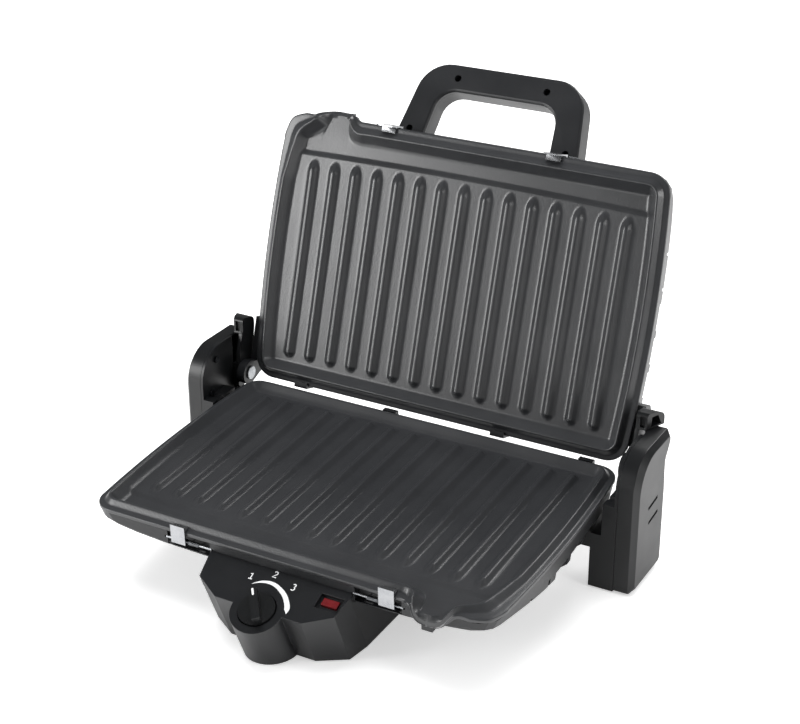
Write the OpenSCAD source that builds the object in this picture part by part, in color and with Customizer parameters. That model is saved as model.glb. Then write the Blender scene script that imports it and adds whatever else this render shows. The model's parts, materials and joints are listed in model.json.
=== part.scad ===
// Countertop contact grill with a hinged, floating lid, drawn open.
// X runs to the right, Y to the back and Z up. The origin lies on the table top,
// midway between the two posts and under the middle of the lower cooking plate.
// "Deck" coordinates are those of a cooking plate: its food side is up, its front is at
// minus Y and its crest lies at zero. The lid is drawn in the same coordinates, turned over.

/* [Cooking plates] */
// Width of a cooking plate, crest to crest
plate_w = 316; // [300:1:326]
// Depth of a cooking plate, crest to crest
plate_d = 203; // [196:1:216]
// How far the plate's sides bow outwards
side_bow = 3.7; // [1:0.1:5]
// Corner radius of the crest
crest_r = 9; // [8:0.5:13]
// Width of the rim outside the crest
flange_w = 8.9; // [8:0.1:10]
// Drop from the crest to the rim's outer edge
flange_drop = 4.9; // [4:0.1:6]
// Thickness of the cast plate
plate_wall = 3; // [2.5:0.1:3.6]
// Depth of the ribbed cooking field below the crest
floor_depth = 6.7; // [5.5:0.1:8]
// Width of the slope from the crest down to the cooking field
slope_w = 6.4; // [5:0.1:7]
// How far the drain gutter lies below the cooking field
gutter_drop = 2; // [1:0.1:2.5]
// Depth of the gutter from front to back, measured from the crest
gutter_w = 20.9; // [18:0.1:24]
// Number of ribs
rib_count = 15; // [9:2:15]
// Distance between ribs
rib_pitch = 19.55; // [16:0.05:20]
// Width of a rib at its foot
rib_w = 9.8; // [7:0.1:11]
// Height of a rib
rib_h = 3.6; // [2:0.1:4.2]
// Middle of the drain spout, to the right of the plate's middle
spout_x = 123; // [110:1:124]

/* [Stance] */
// Height of the lower plate's crest above the table
deck_h = 75.7; // [72:0.1:80]
// Forward slope of the lower plate, for the fat to drain
deck_tilt = 2.5; // [1.5:0.1:3]
// How far the lid stands open from the closed position
open_angle = 109.7; // [90:0.1:112]
// How far the lid's hinge can rise for thick food
float_travel = 25; // [10:1:26]
// Gap between the two crests when the lid is closed
crest_gap = 0.6; // [0.4:0.1:1.2]
// Distance of the hinge axis behind the crest of the plates
hinge_back = 7.8; // [6:0.1:9]

/* [Housings] */
// Wall of the moulded housings
shell_wall = 2.6; // [2:0.1:3]
// Depth of the lower housing's front edge below the crest
low_front_depth = 21.5; // [20:0.1:23]
// Greatest depth of the lower housing below the crest
low_depth = 48; // [44:0.5:52]
// Depth of the lid's housing at its front and rear edges
lid_edge_depth = 18; // [15:0.5:22]
// Greatest depth of the lid's housing
lid_depth = 54; // [48:0.5:56]
// Width of a latch pocket
pocket_w = 37; // [34:0.5:40]
// Outer edge of the latch pockets from the middle
pocket_x = 97; // [94:0.5:98]
// Height of the grille windows in the housings' sides
window_h = 16; // [10:0.5:18]

/* [Hinge] */
// Thickness of the lid's hinge ears
ear_t = 7.2; // [6:0.1:8]
// Radius of the lid's hinge ears
ear_r = 10; // [8.5:0.1:10.5]
// Radius of the hinge pins
pin_r = 4; // [3:0.1:4.5]
// Running clearance around the hinge pins, on the radius
pin_fit = 0.06; // [0.03:0.01:0.1]
// Width of the lift bars, front to back
bar_w = 8.8; // [7:0.1:9.2]
// Thickness of the lift bars outside the posts
bar_t = 6.2; // [5.5:0.1:8]
// Height of the hoods on top of the lift bars
cap_h = 13; // [11:0.1:14]

/* [Posts] */
// Height of the posts above the table
post_h = 113.2; // [110:0.1:116]
// Front face of the posts, behind the middle of the plates
post_front = 60; // [58:0.5:64]
// Thickness of the posts' outer covers
cover_t = 15.8; // [14:0.1:18]
// Bevel around the outer covers
cover_bevel = 4; // [2:0.1:5]
// Radius of the posts' upper front corner
post_round = 27; // [22:0.5:29]
// Wall of the post mouldings
post_wall = 2.2; // [1.8:0.1:2.4]
// Width of the foot boxes inside the posts
foot_w = 20; // [18:0.5:22]

/* [Control box] */
// Slope of the control panel, down towards the user
panel_slope = 23.3; // [20:0.1:26]
// Height of the panel's front edge above the table
panel_h = 43.8; // [41:0.1:46]
// Distance of the panel's front edge in front of the plates' middle
panel_front = 140.9; // [138:0.1:144]
// Half the width of the control box at its front edge
box_nose = 35.4; // [32:0.1:38]
// Half the width of the control box at its shoulders
box_half = 58.5; // [57:0.1:60]
// Wall of the control box
box_wall = 2.4; // [2:0.1:2.8]

/* [Knob and lamp] */
// Diameter of the knob
knob_d = 27; // [24:0.5:28]
// Height of the knob's disc
knob_t = 7; // [5:0.1:8]
// Height of the knob's finger bar above its disc
grip_h = 7; // [4:0.1:8]
// Radius of the thermostat's shaft
shaft_r = 3; // [2.5:0.1:3.5]
// Angle of the knob's pointer at its lowest setting, left of straight ahead
knob_start = 35; // [25:1:45]
// Width of the lamp's lens
lens_w = 12.6; // [9:0.1:13]

/* [Handle] */
// Half the width between the handle's legs at their feet
grip_foot = 54.8; // [53:0.1:57]
// Half the width between the handle's legs at the top
grip_top = 53; // [51:0.1:54]
// Width of the handle's bar
grip_bar = 22.4; // [21:0.1:24]
// Height of the finger gap along the handle
grip_reach = 36.2; // [34:0.1:40]
// Thickness of the handle, front shell and back shell together
grip_t = 21; // [18:0.1:23]
// Backward lean of the handle from the lid
grip_lean = 19; // [16:0.5:21]

/* [Heating] */
// Radius of the heating elements' tubes
tube_r = 3.25; // [2.8:0.05:3.4]
// Half the distance between the outer runs of an element
tube_half = 66; // [60:0.5:70]

/* [Hidden] */
$fn = 48;

eps = 0.01;
// Clearance between fixed pieces that seat on each other
seat = 0.1;
// Clearance beside pieces that slide or swing
slip = 0.3;

half_w = plate_w / 2;
half_d = plate_d / 2;
rim_x = half_w + flange_w;
rim_y = half_d + flange_w;
// Height of the rim's outer edge, and the level on which the plate rests
edge_h = plate_wall;
rest_z = -(flange_drop + edge_h);
field_z = -floor_depth;
gutter_z = field_z - gutter_drop;
// Slope of the inner wall of the plate, run per drop
wall_run = slope_w / floor_depth;
basin_off = -wall_run * (floor_depth + gutter_drop);
plate_under = gutter_z - plate_wall;
gutter_foot = half_d - gutter_w;
field_front = gutter_foot - 3.4;
field_arc = 2.2;

hinge_y = half_d + hinge_back;
hinge_z = crest_gap / 2;

housing_top = rest_z - seat;
housing_in = 0.5;
rear_round = 22;
front_round = 5;
belly_power = 3.2;
belly_full = 1.4;
section_n = 13;
belly_n = 22;

ear_x = rim_x + 0.3;
ear_end = ear_x + ear_t;
bar_x = ear_end + slip;
bar_end = bar_x + bar_t;
inner_x = bar_end + slip;
seam_x = inner_x + post_wall;
cover_x = seam_x + cover_t;
foot_x = seam_x - foot_w;
shelf_x = rim_x + side_bow + 1.4;
// Levels of the foot box beside the deck, above the table
ledge_h = deck_h - 29;
shelf_h = deck_h - 2.5;
ear_well_h = deck_h - 12;
post_rear = 118;
waist_y = hinge_y + bar_w / 2 + slip + post_wall + 0.4;
waist_h = deck_h + 14;
nose_y = waist_y + 8.5;
slot_half = bar_w / 2 + slip;
slot_h = deck_h - 11;
foot_t = 1.2;
foot_r = 5;
hinge_world_y = hinge_y * cos(deck_tilt) - hinge_z * sin(deck_tilt);
hinge_world_z = deck_h + hinge_y * sin(deck_tilt) + hinge_z * cos(deck_tilt);
cap_gap = 0.2;

latch_w = 12.3;
latch_t = 1.2;
latch_low_x = pocket_x - 4.7 - latch_w / 2;
latch_top_x = pocket_x - pocket_w + 5.2 + latch_w / 2;
latch_y = rim_y + 1.7;
latch_pivot_z = housing_top - 5.4;
latch_pivot_y = rim_y - 1.2;
latch_pin_r = 1;
pocket_h = 11;
pocket_in = 7;

tube_z = plate_under - 0.3 - tube_r;
pan_wall = 0.8;
pan_floor = tube_z - tube_r - 0.9;
pan_x = half_w - 18;
pan_front = half_d - 26;
pan_rear = half_d - 16;
pan_lift = 5.5;
tube_front = pan_front - 14;
tube_rear = pan_rear - 12;
bend_r = tube_half / 3;
clamp_t = 1;
clamp_w = 8;
clamp_rows = [-15, 25];
stud_r = 1.6;
stud_x = pan_x - 14;
stud_y = [-pan_front + 16, pan_rear - 18];
boss_r = 4.2;

knob_r = knob_d / 2;
tower_r = knob_r + 6.5;
collar_r = knob_r + 1.6;
knob_gap = 0.5;
box_back = 124;
box_floor = 1.4;
shoulder_s = 12.1;
side_s = 30;
lamp_s = 22.6;
lamp_x = box_half - 12;
lens_sunk = 1.5;
lens_h = 6;

grip_base = half_d + 9.5;
grip_depth = 31.3;
grip_round = 27;
grip_inner_round = 17;
grip_front_t = 5;
grip_sink = 8;
grip_socket = 4.4;
screw_top = [grip_top - 14, grip_reach + 10.8];
screw_low = [grip_foot + 13.6, 0];

// ---------------------------------------------------------------- frames

// Children drawn in deck coordinates, placed on the stand
module deck() translate([0, 0, deck_h]) rotate([deck_tilt, 0, 0]) children();

// Children drawn in deck coordinates, turned over and swung open as the lid
module lid()
    deck() translate([0, hinge_y, hinge_z]) rotate([-open_angle, 0, 0])
        rotate([0, 180, 0]) translate([0, -hinge_y, -hinge_z]) children();

// Children drawn once for each side, mirrored on the left
module both() {
    children();
    mirror([1, 0, 0]) children();
}

// Children drawn on the control panel: x across, y up the panel, z out of it
module panel()
    translate([0, -panel_front, panel_h]) rotate([panel_slope, 0, 0]) children();

// Children drawn on the handle's front face: x across, y along the handle, z forwards
module grip()
    translate([0, -grip_base, -grip_depth]) rotate([grip_lean, 0, 0]) mirror([0, 1, 0])
        children();

// ---------------------------------------------------------------- shapes

// Points of an arc, from angle a to angle b
function arc(x, y, r, a, b, n = 8) =
    [for (i = [0:n]) [x + r * cos(a + (b - a) * i / n), y + r * sin(a + (b - a) * i / n)]];

// Outward bow of the plate's side at depth y
function bow(y) = side_bow * (1 - pow(y / (half_d - crest_r), 2));

// Right or left side of the outline, offset o outside the crest
function side(o, s) =
    [for (i = [1:7]) let (y = s * (half_d - crest_r) * (i / 4 - 1)) [s * (half_w + o + bow(y)), y]];

// Outline of the plate offset o outside its crest, counter-clockwise
function outline(o) = let (x = half_w - crest_r, y = half_d - crest_r, r = crest_r + o)
    concat(arc(x, -y, r, -90, 0), side(o, 1), arc(x, y, r, 0, 90),
        arc(-x, y, r, 90, 180), side(o, -1), arc(-x, -y, r, 180, 270));

// Half width of the plate's outline offset by o, at depth y
function half_width(o, y) = let (c = half_d - crest_r, r = crest_r + o, a = abs(y) - c)
    a <= 0 ? half_w + o + bow(y) : half_w - crest_r + sqrt(max(r * r - a * a, 0));

function lift(points, z) = [for (p = points) [p[0], p[1], z]];

// Closed skin through rings of equally many points, capped at both ends
module skin(rings) {
    n = len(rings[0]);
    m = len(rings);
    walls = [for (i = [0:m - 2], j = [0:n - 1])
        let (a = i * n + j, b = i * n + (j + 1) % n) each [[a, a + n, b + n], [a, b + n, b]]];
    caps = [[for (j = [0:n - 1]) j], [for (j = [n - 1:-1:0]) (m - 1) * n + j]];
    polyhedron([for (r = rings) each r], concat(caps, walls));
}

// Rounded bar between two corner points of a box, rounded about Z
module pad(a, b, r) {
    translate([a[0] + r, a[1], a[2]]) cube([b[0] - a[0] - 2 * r, b[1] - a[1], b[2] - a[2]]);
    translate([a[0], a[1] + r, a[2]]) cube([b[0] - a[0], b[1] - a[1] - 2 * r, b[2] - a[2]]);
    for (x = [a[0] + r, b[0] - r], y = [a[1] + r, b[1] - r])
        translate([x, y, a[2]]) cylinder(r = r, h = b[2] - a[2]);
}

// Box between two corner points
module block(a, b) translate(a) cube(b - a);

// ---------------------------------------------------------------- plates

// Outline of the cooking field, its front edge on a shallow arc, front - f, side offset o
function field(o, f) = let (x = half_w + o - 8, y = half_d + o)
    concat([for (i = [0:12]) let (u = i / 6 - 1) [u * x, -f - field_arc * (1 - u * u)]],
        [[half_width(o, -f), -f + 2], [half_width(o, -f / 2), -f / 2], [half_width(o, 0), 0],
            [half_width(o, f / 2), f / 2], [half_width(o, f), f]],
        arc(half_w - crest_r, half_d - crest_r, crest_r + o, 0, 90, 5),
        arc(-half_w + crest_r, half_d - crest_r, crest_r + o, 90, 180, 5),
        [[-half_width(o, f), f], [-half_width(o, f / 2), f / 2], [-half_width(o, 0), 0],
            [-half_width(o, f / 2), -f / 2], [-half_width(o, -f), -f + 2]]);

function capsule(y0, y1, r) = concat(arc(0, y0, r, 180, 360, 6), arc(0, y1, r, 0, 180, 6));

module rib(x) {
    u = x / (half_w + basin_off);
    front = -field_front + 4.4 + rib_w / 2 - field_arc * (1 - u * u);
    rear = half_d - slope_w - 5 - rib_w / 2;
    top = rib_w / 2 - 3.5;
    translate([x, 0, field_z]) skin([
        lift(capsule(front, rear, rib_w / 2), -0.4),
        lift(capsule(front, rear, rib_w / 2), 0),
        lift(capsule(front, rear, top + 0.5), rib_h - 0.4),
        lift(capsule(front, rear, top - 0.3), rib_h)]);
}

// Outer form of the spout, a chute that narrows downwards
module spout_body() {
    y = -half_d;
    hull() {
        translate([spout_x - 17, y - 13, -1.6]) cube([34, 16, 1.4]);
        translate([spout_x - 11, y - 14.5, -17.8]) cube([11, 10, 1]);
    }
}

module spout_channel() {
    y = -half_d;
    hull() {
        translate([spout_x - 14, y - 20, 1]) cube([28, 26.2, 1]);
        translate([spout_x - 9, y - 20, gutter_z]) cube([20, 25.5, 1]);
        translate([spout_x - 8.5, y - 20, -15]) cube([6.5, 8, 1]);
    }
}

// Cast plate with rim, basin, raised cooking field, ribs, gutter and spout
module plate() {
    under = 1.6;
    difference() {
        union() {
            skin([
                lift(outline(basin_off + under), plate_under),
                lift(outline(0.8), -floor_depth + plate_wall),
                lift(outline(flange_w - 5), rest_z + 1.2),
                lift(outline(flange_w - 3.4), rest_z),
                lift(outline(flange_w - 0.4), rest_z),
                lift(outline(flange_w), rest_z + 0.4),
                lift(outline(flange_w), -flange_drop - 0.5),
                lift(outline(flange_w - 0.5), -flange_drop),
                lift(outline(4.6), -flange_drop + 0.5),
                lift(outline(1.4), -0.5),
                lift(outline(0.4), 0),
                lift(outline(-0.6), -0.3),
                lift(outline(basin_off), gutter_z)]);
            skin([lift(field(basin_off + 0.6, gutter_foot - 0.4), gutter_z - 0.5),
                lift(field(basin_off + 0.6, gutter_foot), gutter_z),
                lift(field(-slope_w - 0.3, field_front), field_z)]);
            for (i = [0:rib_count - 1]) rib((i - (rib_count - 1) / 2) * rib_pitch);
            spout_body();
        }
        spout_channel();
    }
}

module lower_plate() color("#3b3c3e") deck() plate();
module upper_plate() color("#3b3c3e") lid() plate();

// ---------------------------------------------------------------- housings

// Depth of the lower housing below the crest at depth y: a belly, deepest at the back
function low_belly(y) =
    let (t = max(0, min(1, (y + rim_y) / 170)), a = low_depth - low_front_depth,
        d = low_front_depth + a * pow(sin(90 * t), 0.8),
        e = max(0, (y - rim_y + rear_round) / rear_round),
        f = min(1, max(0, (-y - rim_y + front_round) / front_round)))
    low_front_depth + (d - low_front_depth) * pow(max(0, 1 - pow(e, 3)), 1 / 3)
        - front_round * (1 - sqrt(1 - f * f));

// Depth of the lid's housing: a pillow, alike at the front and the back
function lid_belly(y) =
    let (a = lid_depth - lid_edge_depth, u = min(1, abs(y / rim_y)))
    lid_edge_depth + a * sqrt(max(0, 1 - pow(u, 6)));

function belly(y, top) = top ? lid_belly(y) : low_belly(y);

// How square a housing's cross-section is: the lower one bulges most beside the front windows
function squareness(y, top) = belly_power + (top ? 0 : belly_full * exp(-pow((y + 20) / 50, 2)));

// One cross-section of a housing at depth y, grown by g: flat above, rounded below
function section(y, g, top, above) =
    let (w = half_width(flange_w - housing_in + g, y), d = belly(y, top) + housing_top + g,
        k = 2 / squareness(y, top))
    [for (i = [0:section_n - 1]) let (a = 360 - 180 * i / (section_n - 1),
        c = cos(a), s = sin(a))
        [w * sign(c) * pow(abs(c), k), y,
            housing_top + (abs(s) < eps ? above : d * -pow(abs(s), k))]];

// Solid form of a housing, grown by g
module housing_form(g, top, above = 0) {
    y1 = rim_y - housing_in + g;
    skin([for (i = [0:belly_n]) section(-y1 * cos(180 * i / belly_n) * 0.9999, g, top, above)]);
}

// Grille windows and slits through the sides of a housing
module side_vents(top) {
    for (i = [0:2]) {
        y = -13 + 26.5 * i;
        both() block([half_w - 22, y, -22 - window_h], [rim_x + 10, y + 21, -22]);
    }
    for (y = [-52, -25]) both() block([half_w - 22, y, -32], [rim_x + 10, y + 2.6, -21]);
    if (!top) for (x = [-100, -73, 66, 93])
        block([x, -rim_y + 2, -26], [x + 7, -rim_y + 3.8, -17]);
}

// Latch pocket, cut into the front of a housing
module pocket_cut()
    block([pocket_x - pocket_w, -rim_y - 5, housing_top - pocket_h],
        [pocket_x, -rim_y + pocket_in, housing_top + 1]);

// Solid that walls the latch pocket in
module pocket_block()
    block([pocket_x - pocket_w - shell_wall, -rim_y, housing_top - pocket_h - shell_wall],
        [pocket_x + shell_wall, -rim_y + pocket_in + shell_wall, housing_top]);

// Bores in the pocket's cheeks for the latch pin
module pin_bore(extra = 0)
    translate([pocket_x - pocket_w - shell_wall, -latch_pivot_y, latch_pivot_z])
        rotate([0, 90, 0]) cylinder(r = latch_pin_r + extra, h = pocket_w + 2 * shell_wall);

// Fixed hook over the plate's rear rim
module rear_hook(x) translate([x - 6, 0, 0]) rotate([90, 0, 90]) linear_extrude(12)
    polygon([[rim_y - 3, housing_top - 6], [rim_y + 2.2, housing_top - 6],
        [rim_y + 2.2, -flange_drop + 1.8], [rim_y - 2.6, -flange_drop + 2.3],
        [rim_y - 2.6, -flange_drop + 0.9], [rim_y + 0.4, -flange_drop + 0.4],
        [rim_y + 0.4, rest_z - 0.1], [rim_y - 3, rest_z - 0.1]]);

// Boss that carries a reflector screw, down to the housing's floor
module bosses(r, low) for (x = [-stud_x, stud_x], y = stud_y)
    translate([x, y, low]) cylinder(r = r, h = pan_floor - pan_wall - seat - low);

module housing(top) {
    hooks = top ? [-60, 120] : [-34, 137];
    difference() {
        union() {
            difference() {
                housing_form(0, top);
                difference() {
                    housing_form(-shell_wall, top, 4);
                    both() pocket_block();
                    if (top) both() bolt_boss();
                }
            }
            intersection() {
                bosses(boss_r, -60);
                housing_form(-shell_wall / 2, top);
            }
        }
        both() pocket_cut();
        both() pin_bore();
        side_vents(top);
        for (x = [-stud_x, stud_x], y = stud_y)
            translate([x, y, pan_floor - 9]) cylinder(r = stud_r, h = 20);
        if (top) both() bolt_hole();
    }
    for (x = hooks) rear_hook(x);
}

// Pad on the lower housing's side that is screwed to the foot box
pad_y = [hinge_y - 39, hinge_y - 9];
pad_z = [ledge_h - deck_h - 19, ledge_h - deck_h - 5];
deck_screw_y = (pad_y[0] + pad_y[1]) / 2;
deck_screw_z = (pad_z[0] + pad_z[1]) / 2 + deck_h - 1;
deck_screw_r = 2;

module lower_housing() color("#222325") {
    difference() {
        union() {
            deck() housing(false);
            difference() {
                both() block([foot_x - 21, pad_y[0], deck_h + pad_z[0]],
                    [foot_x - seat, pad_y[1], deck_h + pad_z[1]]);
                deck() housing_form(-shell_wall / 2, false, 4);
            }
            deck() block([spout_x - 10, -rim_y - 1.5, -24.5], [spout_x - 1.5, -rim_y + 8, -14]);
        }
        both() translate([foot_x - 30, deck_screw_y, deck_screw_z]) rotate([0, 90, 0])
            cylinder(r = deck_screw_r, h = 40);
        deck() translate([60, rim_y + 5, -30]) rotate([90, 0, 0]) cylinder(r = 6, h = 15);
        deck() spout_clear();
    }
}

// Room in a housing's front edge for the plate's spout
module spout_clear() hull() {
    translate([spout_x - 18, -half_d - 20, 0]) cube([36, 24, 1]);
    translate([spout_x - 12, -half_d - 20, -18]) cube([13, 17, 1]);
}

// Hinge ear of the lid: a hub round the pin and an arm that joins the housing's side
module ear() translate([ear_x, 0, 0]) rotate([90, 0, 90]) {
    linear_extrude(ear_t) difference() {
        union() {
            translate([hinge_y, hinge_z]) circle(r = ear_r);
            polygon([[hinge_y - ear_r + 0.5, hinge_z + 0.5], [hinge_y - ear_r + 0.5, housing_top - 1],
                [hinge_y - 46, housing_top - 1], [hinge_y - 46, -19], [hinge_y - 40, -24],
                [hinge_y - 6, -24], [hinge_y + ear_r - 1.5, -5]]);
        }
        translate([hinge_y, hinge_z]) circle(r = pin_r + pin_fit);
    }
}

module upper_housing() color("#222325") lid() difference() {
    union() {
        housing(true);
        both() ear();
        difference() {
            both() block([half_w - 4, hinge_y - 44, -23], [ear_x + 1, hinge_y - 13, housing_top - 1.4]);
            housing_form(-shell_wall / 2, true, 4);
        }
    }
    spout_clear();
}

// ---------------------------------------------------------------- heating

// Shallow sheet pan under the element that throws the heat at the plate
module pan() {
    difference() {
        pad([-pan_x, -pan_front, pan_floor - pan_wall], [pan_x, pan_rear, pan_floor + pan_lift], 8);
        pad([-pan_x + pan_wall, -pan_front + pan_wall, pan_floor],
            [pan_x - pan_wall, pan_rear - pan_wall, pan_floor + 20], 7.2);
        for (x = [-stud_x, stud_x], y = stud_y)
            translate([x, y, pan_floor - 2]) cylinder(r = stud_r + 0.2, h = 5);
        for (s = [-1, 1]) translate([s * bend_r, pan_rear - 4, tube_z]) rotate([-90, 0, 0])
            cylinder(r = tube_r + 0.25, h = 8);
    }
}

module lower_reflector() color("#b9bbbd") deck() pan();
module upper_reflector() color("#b9bbbd") lid() pan();

module tube(x, y0, y1) translate([x, y0, tube_z]) rotate([-90, 0, 0]) cylinder(r = tube_r, h = y1 - y0);

// Half bend of the tube about a point, opening to the front or the back
module bend(x, y, r, a) translate([x, y, tube_z]) rotate([0, 0, a])
    rotate_extrude(angle = 180) translate([r, 0]) circle(r = tube_r);

// Tubular element bent into a W, with its two cold ends at the back
module element() {
    w = bend_r;
    y0 = -tube_front + w;
    y1 = tube_rear - 2 * w;
    for (s = [-1, 1]) {
        tube(s * w, y0, pan_rear + 9);
        tube(s * 3 * w, y0, y1);
        tube(s * 5 * w, y0, y1);
        translate([s * w, pan_rear + 9, tube_z]) rotate([-90, 0, 0]) cylinder(r = 1.2, h = 3);
    }
    for (s = [-1, 1]) bend(s * 2 * w, y0, w, 180);
    for (s = [-1, 1]) bend(s * 4 * w, y1, w, 0);
    for (s = [-1, 1]) tube(s * 5 * w, y0 - 8, y0 + eps);
    translate([-5 * w, y0 - 8, tube_z]) rotate([0, 90, 0]) cylinder(r = tube_r, h = 10 * w);
    for (s = [-1, 1]) translate([s * 5 * w, y0 - 8, tube_z]) sphere(r = tube_r);
}

module lower_element() color("#77736d") deck() element();
module upper_element() color("#77736d") lid() element();

// Saddles that carry the element's runs on the pan
module clamps() {
    for (s = [-1, 1], k = [1, 3, 5], y = clamp_rows) translate([s * k * bend_r, y, 0]) difference() {
        block([-clamp_w, -clamp_t, pan_floor + seat], [clamp_w, clamp_t, tube_z + 0.5]);
        translate([0, -5, tube_z]) rotate([-90, 0, 0]) cylinder(r = tube_r + 0.05, h = 10);
        block([-tube_r - 0.05, -5, tube_z], [tube_r + 0.05, 5, tube_z + 2]);
    }
}

module lower_element_clamps() color("#a9abad") deck() clamps();
module upper_element_clamps() color("#a9abad") lid() clamps();

module pan_screws() for (x = [-stud_x, stud_x], y = stud_y) translate([x, y, pan_floor + seat]) {
    cylinder(r = 3, h = 1.6);
    translate([0, 0, -8]) cylinder(r = stud_r - 0.05, h = 8 + eps);
}

module lower_reflector_screws() color("#8d8f92") deck() pan_screws();
module upper_reflector_screws() color("#8d8f92") lid() pan_screws();

// Disc thermostat that cuts the lower element off if it overheats
module thermal_cutout() color("#6f7276") deck() translate([0, 15, pan_floor - pan_wall - seat]) {
    translate([0, 0, -8]) cylinder(r = 8, h = 8);
    block([-12, -3.5, -1], [12, 3.5, 0]);
    for (x = [-4, 4]) block([x - 0.4, -3, -14], [x + 0.4, 3, -7.9]);
}

// ---------------------------------------------------------------- latches

// Spring latch: a rolled hub, a front plate and a hook over the plate's rim
module latch(x, tip) {
    y = -latch_y;
    translate([x - latch_w / 2, 0, 0]) rotate([90, 0, 90]) linear_extrude(latch_w) difference() {
        union() {
            translate([-latch_pivot_y, latch_pivot_z]) circle(r = latch_pin_r + 1.1);
            polygon([[-latch_pivot_y + 0.6, latch_pivot_z - latch_pin_r - 0.5],
                [y, latch_pivot_z - 1.6], [y, -flange_drop + tip], [y + latch_t, -flange_drop + tip],
                [y + latch_t, -flange_drop + 2.1], [-rim_y + 4, -flange_drop + 2.9],
                [-rim_y + 4, -flange_drop + 1.0], [-rim_y - 0.2, -flange_drop + 0.6],
                [-rim_y - 0.5, -flange_drop - 0.2], [-rim_y - 0.5, latch_pivot_z + 1],
                [-latch_pivot_y + 0.6, latch_pivot_z + latch_pin_r + 0.5]]);
        }
        translate([-latch_pivot_y, latch_pivot_z]) circle(r = latch_pin_r + 0.05);
    }
}

module latch_lower_left() color("#d9dadb") deck() latch(-latch_low_x, 4.8);
module latch_lower_right() color("#d9dadb") deck() latch(latch_low_x, 4.8);
module latch_upper_left() color("#d9dadb") lid() latch(latch_top_x, 9);
module latch_upper_right() color("#d9dadb") lid() latch(-latch_top_x, 9);

module latch_pins() both() intersection() {
    pin_bore(-0.02);
    block([pocket_x - pocket_w - shell_wall + 1.4, -rim_y - 20, -60],
        [pocket_x + shell_wall - 1.4, rim_y, 0]);
}

module lower_latch_pins() color("#c4c6c8") deck() latch_pins();
module upper_latch_pins() color("#c4c6c8") lid() latch_pins();

// Closely wound spring beside a latch, on the same pin, with its two legs
module latch_spring(x) translate([x - 5, -latch_pivot_y, latch_pivot_z]) {
    rotate([0, 90, 0]) difference() {
        cylinder(r = latch_pin_r + 0.9, h = 10);
        translate([0, 0, -1]) cylinder(r = latch_pin_r + 0.12, h = 12);
    }
    block([0, 0.9, -1.9], [0.8, 5.6, -1.1]);
    block([9.2, 0.9, -1.9], [10, 5.6, -1.1]);
}

module lower_latch_springs() color("#c4c6c8") deck() both() latch_spring(latch_low_x - latch_w / 2 - 6);
module upper_latch_springs() color("#c4c6c8") lid() both() latch_spring(latch_top_x + latch_w / 2 + 6);

// ---------------------------------------------------------------- posts

// Side view of a post (y, z), drawn in by d: its front and rear edges, from the foot up
function post_front_edge(d) = let (r = post_round, y0 = post_front + d, z0 = foot_t + d, z1 = post_h - d)
    concat([[y0 + 2, z0], [y0, z0 + 2]], arc(y0 + r, z1 - r, r, 180, 90, 10));

function post_rear_edge(d) = let (z0 = foot_t + d, z1 = post_h - d, y1 = post_rear - d, w = waist_y - d)
    concat([[y1 - 2, z0], [y1, z0 + 2], [w + 1.2, waist_h - 22], [w, waist_h - 6]],
        arc(w + 9, waist_h, 9, 180, 128, 5),
        [[nose_y - d, z1 - 5], [nose_y - d, z1 - 2], [nose_y - 2 - d, z1]]);

function post_outline(d) = let (f = post_front_edge(d))
    concat(post_rear_edge(d), [for (i = [len(f) - 1:-1:0]) f[i]]);

// Profile (y, z) stood up in the plane of X
module stand(x, t) translate([x, 0, 0]) rotate([90, 0, 90]) linear_extrude(t) children();

module post_cover() difference() {
    levels = [[cover_x - cover_bevel, 0], [cover_x, cover_bevel]];
    front = [for (l = levels) [for (p = post_front_edge(l[1])) [l[0], p[0], p[1]]]];
    rear = [for (l = levels) [for (p = post_rear_edge(l[1])) [l[0], p[0], p[1]]]];
    union() {
        stand(seam_x + seat, cover_t - cover_bevel - seat) polygon(post_outline(0));
        skin([for (k = [0:len(front[0]) - 1]) [front[0][k], front[1][k], rear[1][k], rear[0][k]]]);
    }
    stand(seam_x - 1, cover_t - post_wall - 1.6) polygon(post_outline(post_wall));
    // Two grooves on the outer face
    for (k = [0, 1]) translate([cover_x - 1.4, post_front + 23 + 2 * k, slot_h - 1 - 13 * k])
        rotate([6, 0, 0]) cube([5, 18, 2.4]);
}

module cover_studs(r, x0, x1) for (p = stud_at) translate([x0, p[0], p[1]])
    rotate([0, 90, 0]) cylinder(r = r, h = x1 - x0);

stud_at = [[post_front + 20, deck_h + 26], [post_front + 11, deck_h - 1],
    [post_front + 12, 16], [post_rear - 13, 16]];
stud_hole = 1.5;

module cover_with_studs() difference() {
    union() {
        post_cover();
        cover_studs(4, seam_x + seat, cover_x - post_wall - 1);
    }
    cover_studs(stud_hole, seam_x - 1, cover_x - post_wall - 3);
}

module post_cover_right() color("#1c1d1f") cover_with_studs();
module post_cover_left() color("#1c1d1f") mirror([1, 0, 0]) cover_with_studs();

// Inside of a foot box, stepped: full width low down, then narrower beside the deck
module foot_steps(d, open) {
    z0 = foot_t + d;
    y0 = post_front + d;
    x1 = seam_x + open;
    block([foot_x + d, y0, z0], [x1, post_rear - d, ledge_h - d]);
    block([shelf_x + d, y0, z0], [x1, post_rear - 26, shelf_h - d]);
    block([shelf_x + d, y0, z0], [x1, waist_y - 0.2 - d, ear_well_h - d]);
}

// Slot for the lift bar, open at the top
module bar_slot() block([bar_x - 40, hinge_world_y - slot_half, slot_h],
    [seam_x + 1, hinge_world_y + slot_half, post_h + 20]);

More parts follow.
